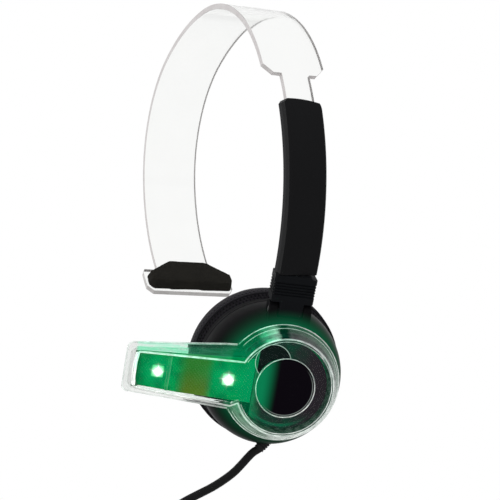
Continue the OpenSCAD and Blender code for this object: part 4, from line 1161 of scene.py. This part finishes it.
def makeRelief(s):
    place = cupPlace @ Matrix.Translation(Vector(s["at"]) * mm) @ Matrix.Rotation(math.radians(-s["lean"]), 4, "X")
    # the sleeve's own X runs down the cord
    place = place @ Matrix(((0, 1, 0, 0), (0, 0, 1, 0), (-1, 0, 0, 0), (0, 0, 0, 1)))
    back = -s["inside"] - s["flange"][0]
    profile = [(back, s["flange"][1]), (-s["inside"], s["flange"][1]), (-s["inside"], s["neck"]), (-0.4, s["neck"])]
    step = s["out"] / (s["ribs"] + 0.5)
    for i in range(s["ribs"]):
        x = -0.2 + i * step
        r = s["neck"] - s["taper"] * i
        profile += [(x, r), (x + step * 0.55, r - 0.04)]
        profile += [(x + step * 0.62, r - s["groove"]), (x + step * 0.93, r - s["groove"] - 0.02)]
    profile += [(s["out"], s["mouth"]), (s["out"], s["bore"]), (back, s["bore"])]
    piece = turnedPiece("cordRelief", [(x * mm, r * mm) for x, r in profile], 40, place)
    finishPiece(piece, "ear_cup", looks["rubber"], ["cord_gland"])


makeRelief(reliefSet)
print("stage: strain relief")


# lit board with a low rim, and the white bar at its end
def makeBoard(s):
    deselectAll()
    bpy.ops.mesh.primitive_plane_add(size=1)
    piece = bpy.context.object
    piece.name = "litBoardPanel"
    corners = ((s["from"], -s["wide"]), (s["from"], s["wide"]), (s["to"], s["narrow"]), (s["to"], -s["narrow"]))
    middle = (s["from"] + s["to"]) / 2
    order = sorted(piece.data.vertices, key=lambda v: math.atan2(v.co.y, v.co.x))
    for vertex, (y, z) in zip(order, sorted(corners, key=lambda c: math.atan2(c[1], c[0] - middle))):
        vertex.co = Vector((y, z, s["low"])) * mm
    bpy.ops.object.mode_set(mode="EDIT")
    bpy.ops.mesh.select_all(action="SELECT")
    bpy.ops.mesh.extrude_region_move(TRANSFORM_OT_translate={"value": (0, 0, (s["high"] - s["low"]) * mm)})
    bpy.ops.mesh.inset(thickness=s["rim"] * mm)
    bpy.ops.transform.translate(value=(0, 0, -s["rim"] / 2 * mm))
    bpy.ops.object.mode_set(mode="OBJECT")
    settle(piece, boomPlace @ Matrix(((0, 0, 1, 0), (1, 0, 0, 0), (0, 1, 0, 0), (0, 0, 0, 1))))
    cleanNormals(piece)
    addBevel(piece, 0.12 * mm, 2)
    applyAll(piece)
    shapeArm(piece, armShape)
    finishPiece(piece, "boom", looks["board"], ["circuit_board"])


barSet = {"y": -65.85, "half": 6.7, "thick": 1.5, "low": 10.75, "high": 12.2, "bow": 0.5, "cuts": 6}


def makeEndBar(s):
    deselectAll()
    bpy.ops.mesh.primitive_cube_add(size=1)
    piece = bpy.context.object
    piece.name = "litEndBar"
    piece.scale = ((s["high"] - s["low"]) * mm, s["thick"] * mm, 2 * s["half"] * mm)
    bpy.ops.object.transform_apply(location=False, rotation=False, scale=True)
    bpy.ops.object.mode_set(mode="EDIT")
    bpy.ops.mesh.select_all(action="SELECT")
    bpy.ops.mesh.subdivide(number_cuts=s["cuts"])
    bpy.ops.object.mode_set(mode="OBJECT")
    for vertex in piece.data.vertices:  # its ends bow in toward the hub
        vertex.co.y += s["bow"] * mm * (vertex.co.z / (s["half"] * mm)) ** 2
    settle(piece, boomPlace @ Matrix.Translation(Vector(((s["low"] + s["high"]) / 2, s["y"], 0)) * mm))
    addBevel(piece, 0.2 * mm, 2, 50)
    applyAll(piece)
    shapeArm(piece, armShape)
    smoothBy(piece, 40)
    finishPiece(piece, "boom", looks["endBar"], ["end_strip"])


makeBoard(boardSet)
makeEndBar(barSet)


# a ring on the boom that stays open by gap degrees to each side of the arm
def openRing(name, profile, gap, look, steps=100):
    deselectAll()
    bpy.ops.mesh.primitive_circle_add(vertices=len(profile), radius=mm, fill_type="NGON")
    piece = bpy.context.object
    piece.name = name
    start = Matrix.Rotation(math.radians(180 - gap), 4, "X")  # the spin turns clockwise
    for vertex, (x, r) in zip(piece.data.vertices, profile):
        vertex.co = start @ Vector((x, r, 0))
    bpy.ops.object.mode_set(mode="EDIT")
    bpy.ops.mesh.select_all(action="SELECT")
    bpy.ops.mesh.spin(steps=steps, angle=math.radians(360 - 2 * gap), center=(0, 0, 0), axis=(1, 0, 0))
    bpy.ops.mesh.select_all(action="SELECT")
    bpy.ops.mesh.fill_holes(sides=0)
    bpy.ops.object.mode_set(mode="OBJECT")
    settle(piece, boomPlace)
    cleanNormals(piece)
    smoothBy(piece, 50)
    finishPiece(piece, "boom", looks[look])


# open rings as (radius, depth, half of its thickness) and their gap
openSet = {
    "hubFrontLine": ((20.9, 16.68, 0.11), 27), "hubBackBead": ((26.6, 7.2, 0.22), 34),
    "hubSplitBead": ((25.4, 9.5, 0.16), 36),
}
for name, (sizes, gap) in openSet.items():
    openRing(name, ringProfile(*sizes), gap, "bead")

bossSpot = Vector((0, -6.5, 10.0)) * mm
makeRing("capBead", (13.3, 16.6, 0.18), 128, boomPlace, "boom", "capBead")
makeRing("bossBead", (8.0, 12.5, 0.14), 64, boomPlace @ Matrix.Translation(bossSpot), "boom", "dimBead")

outlineSet = {
    "hub": 22.0, "wide": 9.2, "tip": -66.15, "narrow": 6.75, "corner": 2.2, "half": 0.36, "depth": 16.45,
    "backHub": -22.6, "backTip": -69.6, "backWide": 13.3, "backNarrow": 10.4, "backHalf": 0.45, "backDepth": 7.2,
}


def cornerPoints(tip, narrow, corner, steps=6):
    turns = [math.pi / 2 * i / steps for i in range(steps + 1)]
    return [(tip + corner * (1 - math.sin(a)), narrow - corner * (1 - math.cos(a))) for a in turns]


def straight(a, b, start, end, steps):
    shares = [i / steps for i in range(start, end)]
    return [(a[0] * (1 - t) + b[0] * t, a[1] * (1 - t) + b[1] * t) for t in shares]


# a round bead along an outline in the boom's plane
def makeBead(name, points, depth, half, closed, look):
    curve = bpy.data.curves.new(name, "CURVE")
    curve.dimensions = "3D"
    spline = curve.splines.new("POLY")
    spline.points.add(len(points) - 1)
    for point, (y, z) in zip(spline.points, points):
        point.co = (depth * mm, y * mm, z * mm, 1)
    spline.use_cyclic_u = closed
    curve.bevel_depth = half * mm
    curve.bevel_resolution = 2
    curve.use_fill_caps = not closed
    bead = bpy.data.objects.new(name, curve)
    bpy.context.collection.objects.link(bead)
    pick(bead)
    bpy.ops.object.convert(target="MESH")
    bead = bpy.context.object
    settle(bead, boomPlace)
    cleanNormals(bead)
    shapeArm(bead, armShape)
    smoothBy(bead, 60)
    finishPiece(bead, "boom", looks[look])


def frontOutline(s, steps=96):
    gap = math.asin(s["wide"] / s["hub"])
    turns = [math.pi - gap - (2 * math.pi - 2 * gap) * i / steps for i in range(steps + 1)]
    ring = [(s["hub"] * math.cos(a), s["hub"] * math.sin(a)) for a in turns]
    lower = straight((ring[-1][0], -s["wide"]), (s["tip"] + s["corner"], -s["narrow"]), 1, 13, 13)
    lower += [(y, -z) for y, z in cornerPoints(s["tip"], s["narrow"], s["corner"])]
    return ring + lower + [(y, -z) for y, z in reversed(lower)]


def backOutline(s):
    upper = straight((s["backHub"], s["backWide"]), (s["backTip"] + s["corner"], s["backNarrow"]), 0, 10, 10)
    upper += cornerPoints(s["backTip"], s["backNarrow"], s["corner"])
    return upper + [(y, -z) for y, z in reversed(upper)]


outline = outlineSet
makeBead("frontOutlineBead", frontOutline(outline), outline["depth"], outline["half"], True, "outlineBead")
makeBead("backOutlineBead", backOutline(outline), outline["backDepth"], outline["backHalf"], False, "rimBead")

guideSet = {
    "outer": 23.3, "inner": 20.6, "low": 9.6, "high": 12.6, "gap": 34, "side": 1.6, "slope": 0.9, "round": (0.8, 0.3),
}


def makeGuide(s):
    a, b, low, high = s["inner"], s["outer"], s["low"], s["high"]
    down, over = s["round"]
    profile = [(low, a), (low, b), (low + s["side"], b), (high, b - s["slope"]), (high, a + over), (high - down, a)]
    openRing("hubLightGuide", [(x * mm, r * mm) for x, r in profile], s["gap"], "guide")


makeGuide(guideSet)
print("stage: boom beads")

# beads round the housing
for name, sizes in {"rimBead": (33.2, -13.4, 0.35), "shoulderBead": (31.6, -4.6, 0.25)}.items():
    makeRing(name, sizes, 128, cupPlace, "ear_cup", "black")
print("stage: housing beads")

# floor, backdrop and light
floorGap = 0.2 * mm
deselectAll()
bpy.ops.mesh.primitive_plane_add(size=30, location=(0, 0, cordSet["floor"] * mm - floorGap))
floor = bpy.context.object
floor.name = "floor"
floorMaterial, w, shader = newMaterial("paleFloor")
floorTone = w.mix(w.noise(w.objectPlace(), 3.0), (0.86, 0.86, 0.85, 1), (0.9, 0.9, 0.9, 1))
w.plug(shader.inputs["Base Color"], floorTone)
shader.inputs["Roughness"].default_value = 0.9
floor.data.materials.append(floorMaterial)

lightSet = {
    "key": {"spot": (0.7, -0.9, 0.75), "size": 2.2, "power": 16.0},
    "fill": {"spot": (0.9, 0.9, 0.25), "size": 2.0, "power": 6.0},
    "back": {"spot": (-0.9, -0.2, 0.6), "size": 2.0, "power": 7.0},
}
aim = Vector((0, 0, -0.13))
for name, s in lightSet.items():
    data = bpy.data.lights.new(name, "AREA")
    data.size = s["size"]
    data.energy = s["power"]
    lamp = bpy.data.objects.new(name, data)
    bpy.context.collection.objects.link(lamp)
    lamp.location = s["spot"]
    lamp.rotation_euler = (aim - lamp.location).to_track_quat("-Z", "Y").to_euler()
    lamp.visible_camera = lamp.visible_transmission = lamp.visible_glossy = False

# the surroundings: plain white where they are seen, softer as light
world = bpy.data.worlds.new("studio")
bpy.context.scene.world = world
world.use_nodes = True
tree = world.node_tree
tree.nodes.clear()
w = Wiring(tree)
out = tree.nodes.new("ShaderNodeOutputWorld")
paths = tree.nodes.new("ShaderNodeLightPath")
white = tree.nodes.new("ShaderNodeBackground")
soft = tree.nodes.new("ShaderNodeBackground")
white.inputs["Color"].default_value = (1, 1, 1, 1)
white.inputs["Strength"].default_value = 1.0
soft.inputs["Color"].default_value = (0.97, 0.98, 1.0, 1)
soft.inputs["Strength"].default_value = 0.55
seen = w.math("MAXIMUM", w.math("MAXIMUM", paths.outputs["Is Camera Ray"], paths.outputs["Is Glossy Ray"]),
              paths.outputs["Is Transmission Ray"])
mixed = tree.nodes.new("ShaderNodeMixShader")
w.plug(mixed.inputs[0], seen)
tree.links.new(soft.outputs[0], mixed.inputs[1])
tree.links.new(white.outputs[0], mixed.inputs[2])
tree.links.new(mixed.outputs[0], out.inputs[0])
bpy.context.scene.view_settings.view_transform = "Standard"
print("stage: light")
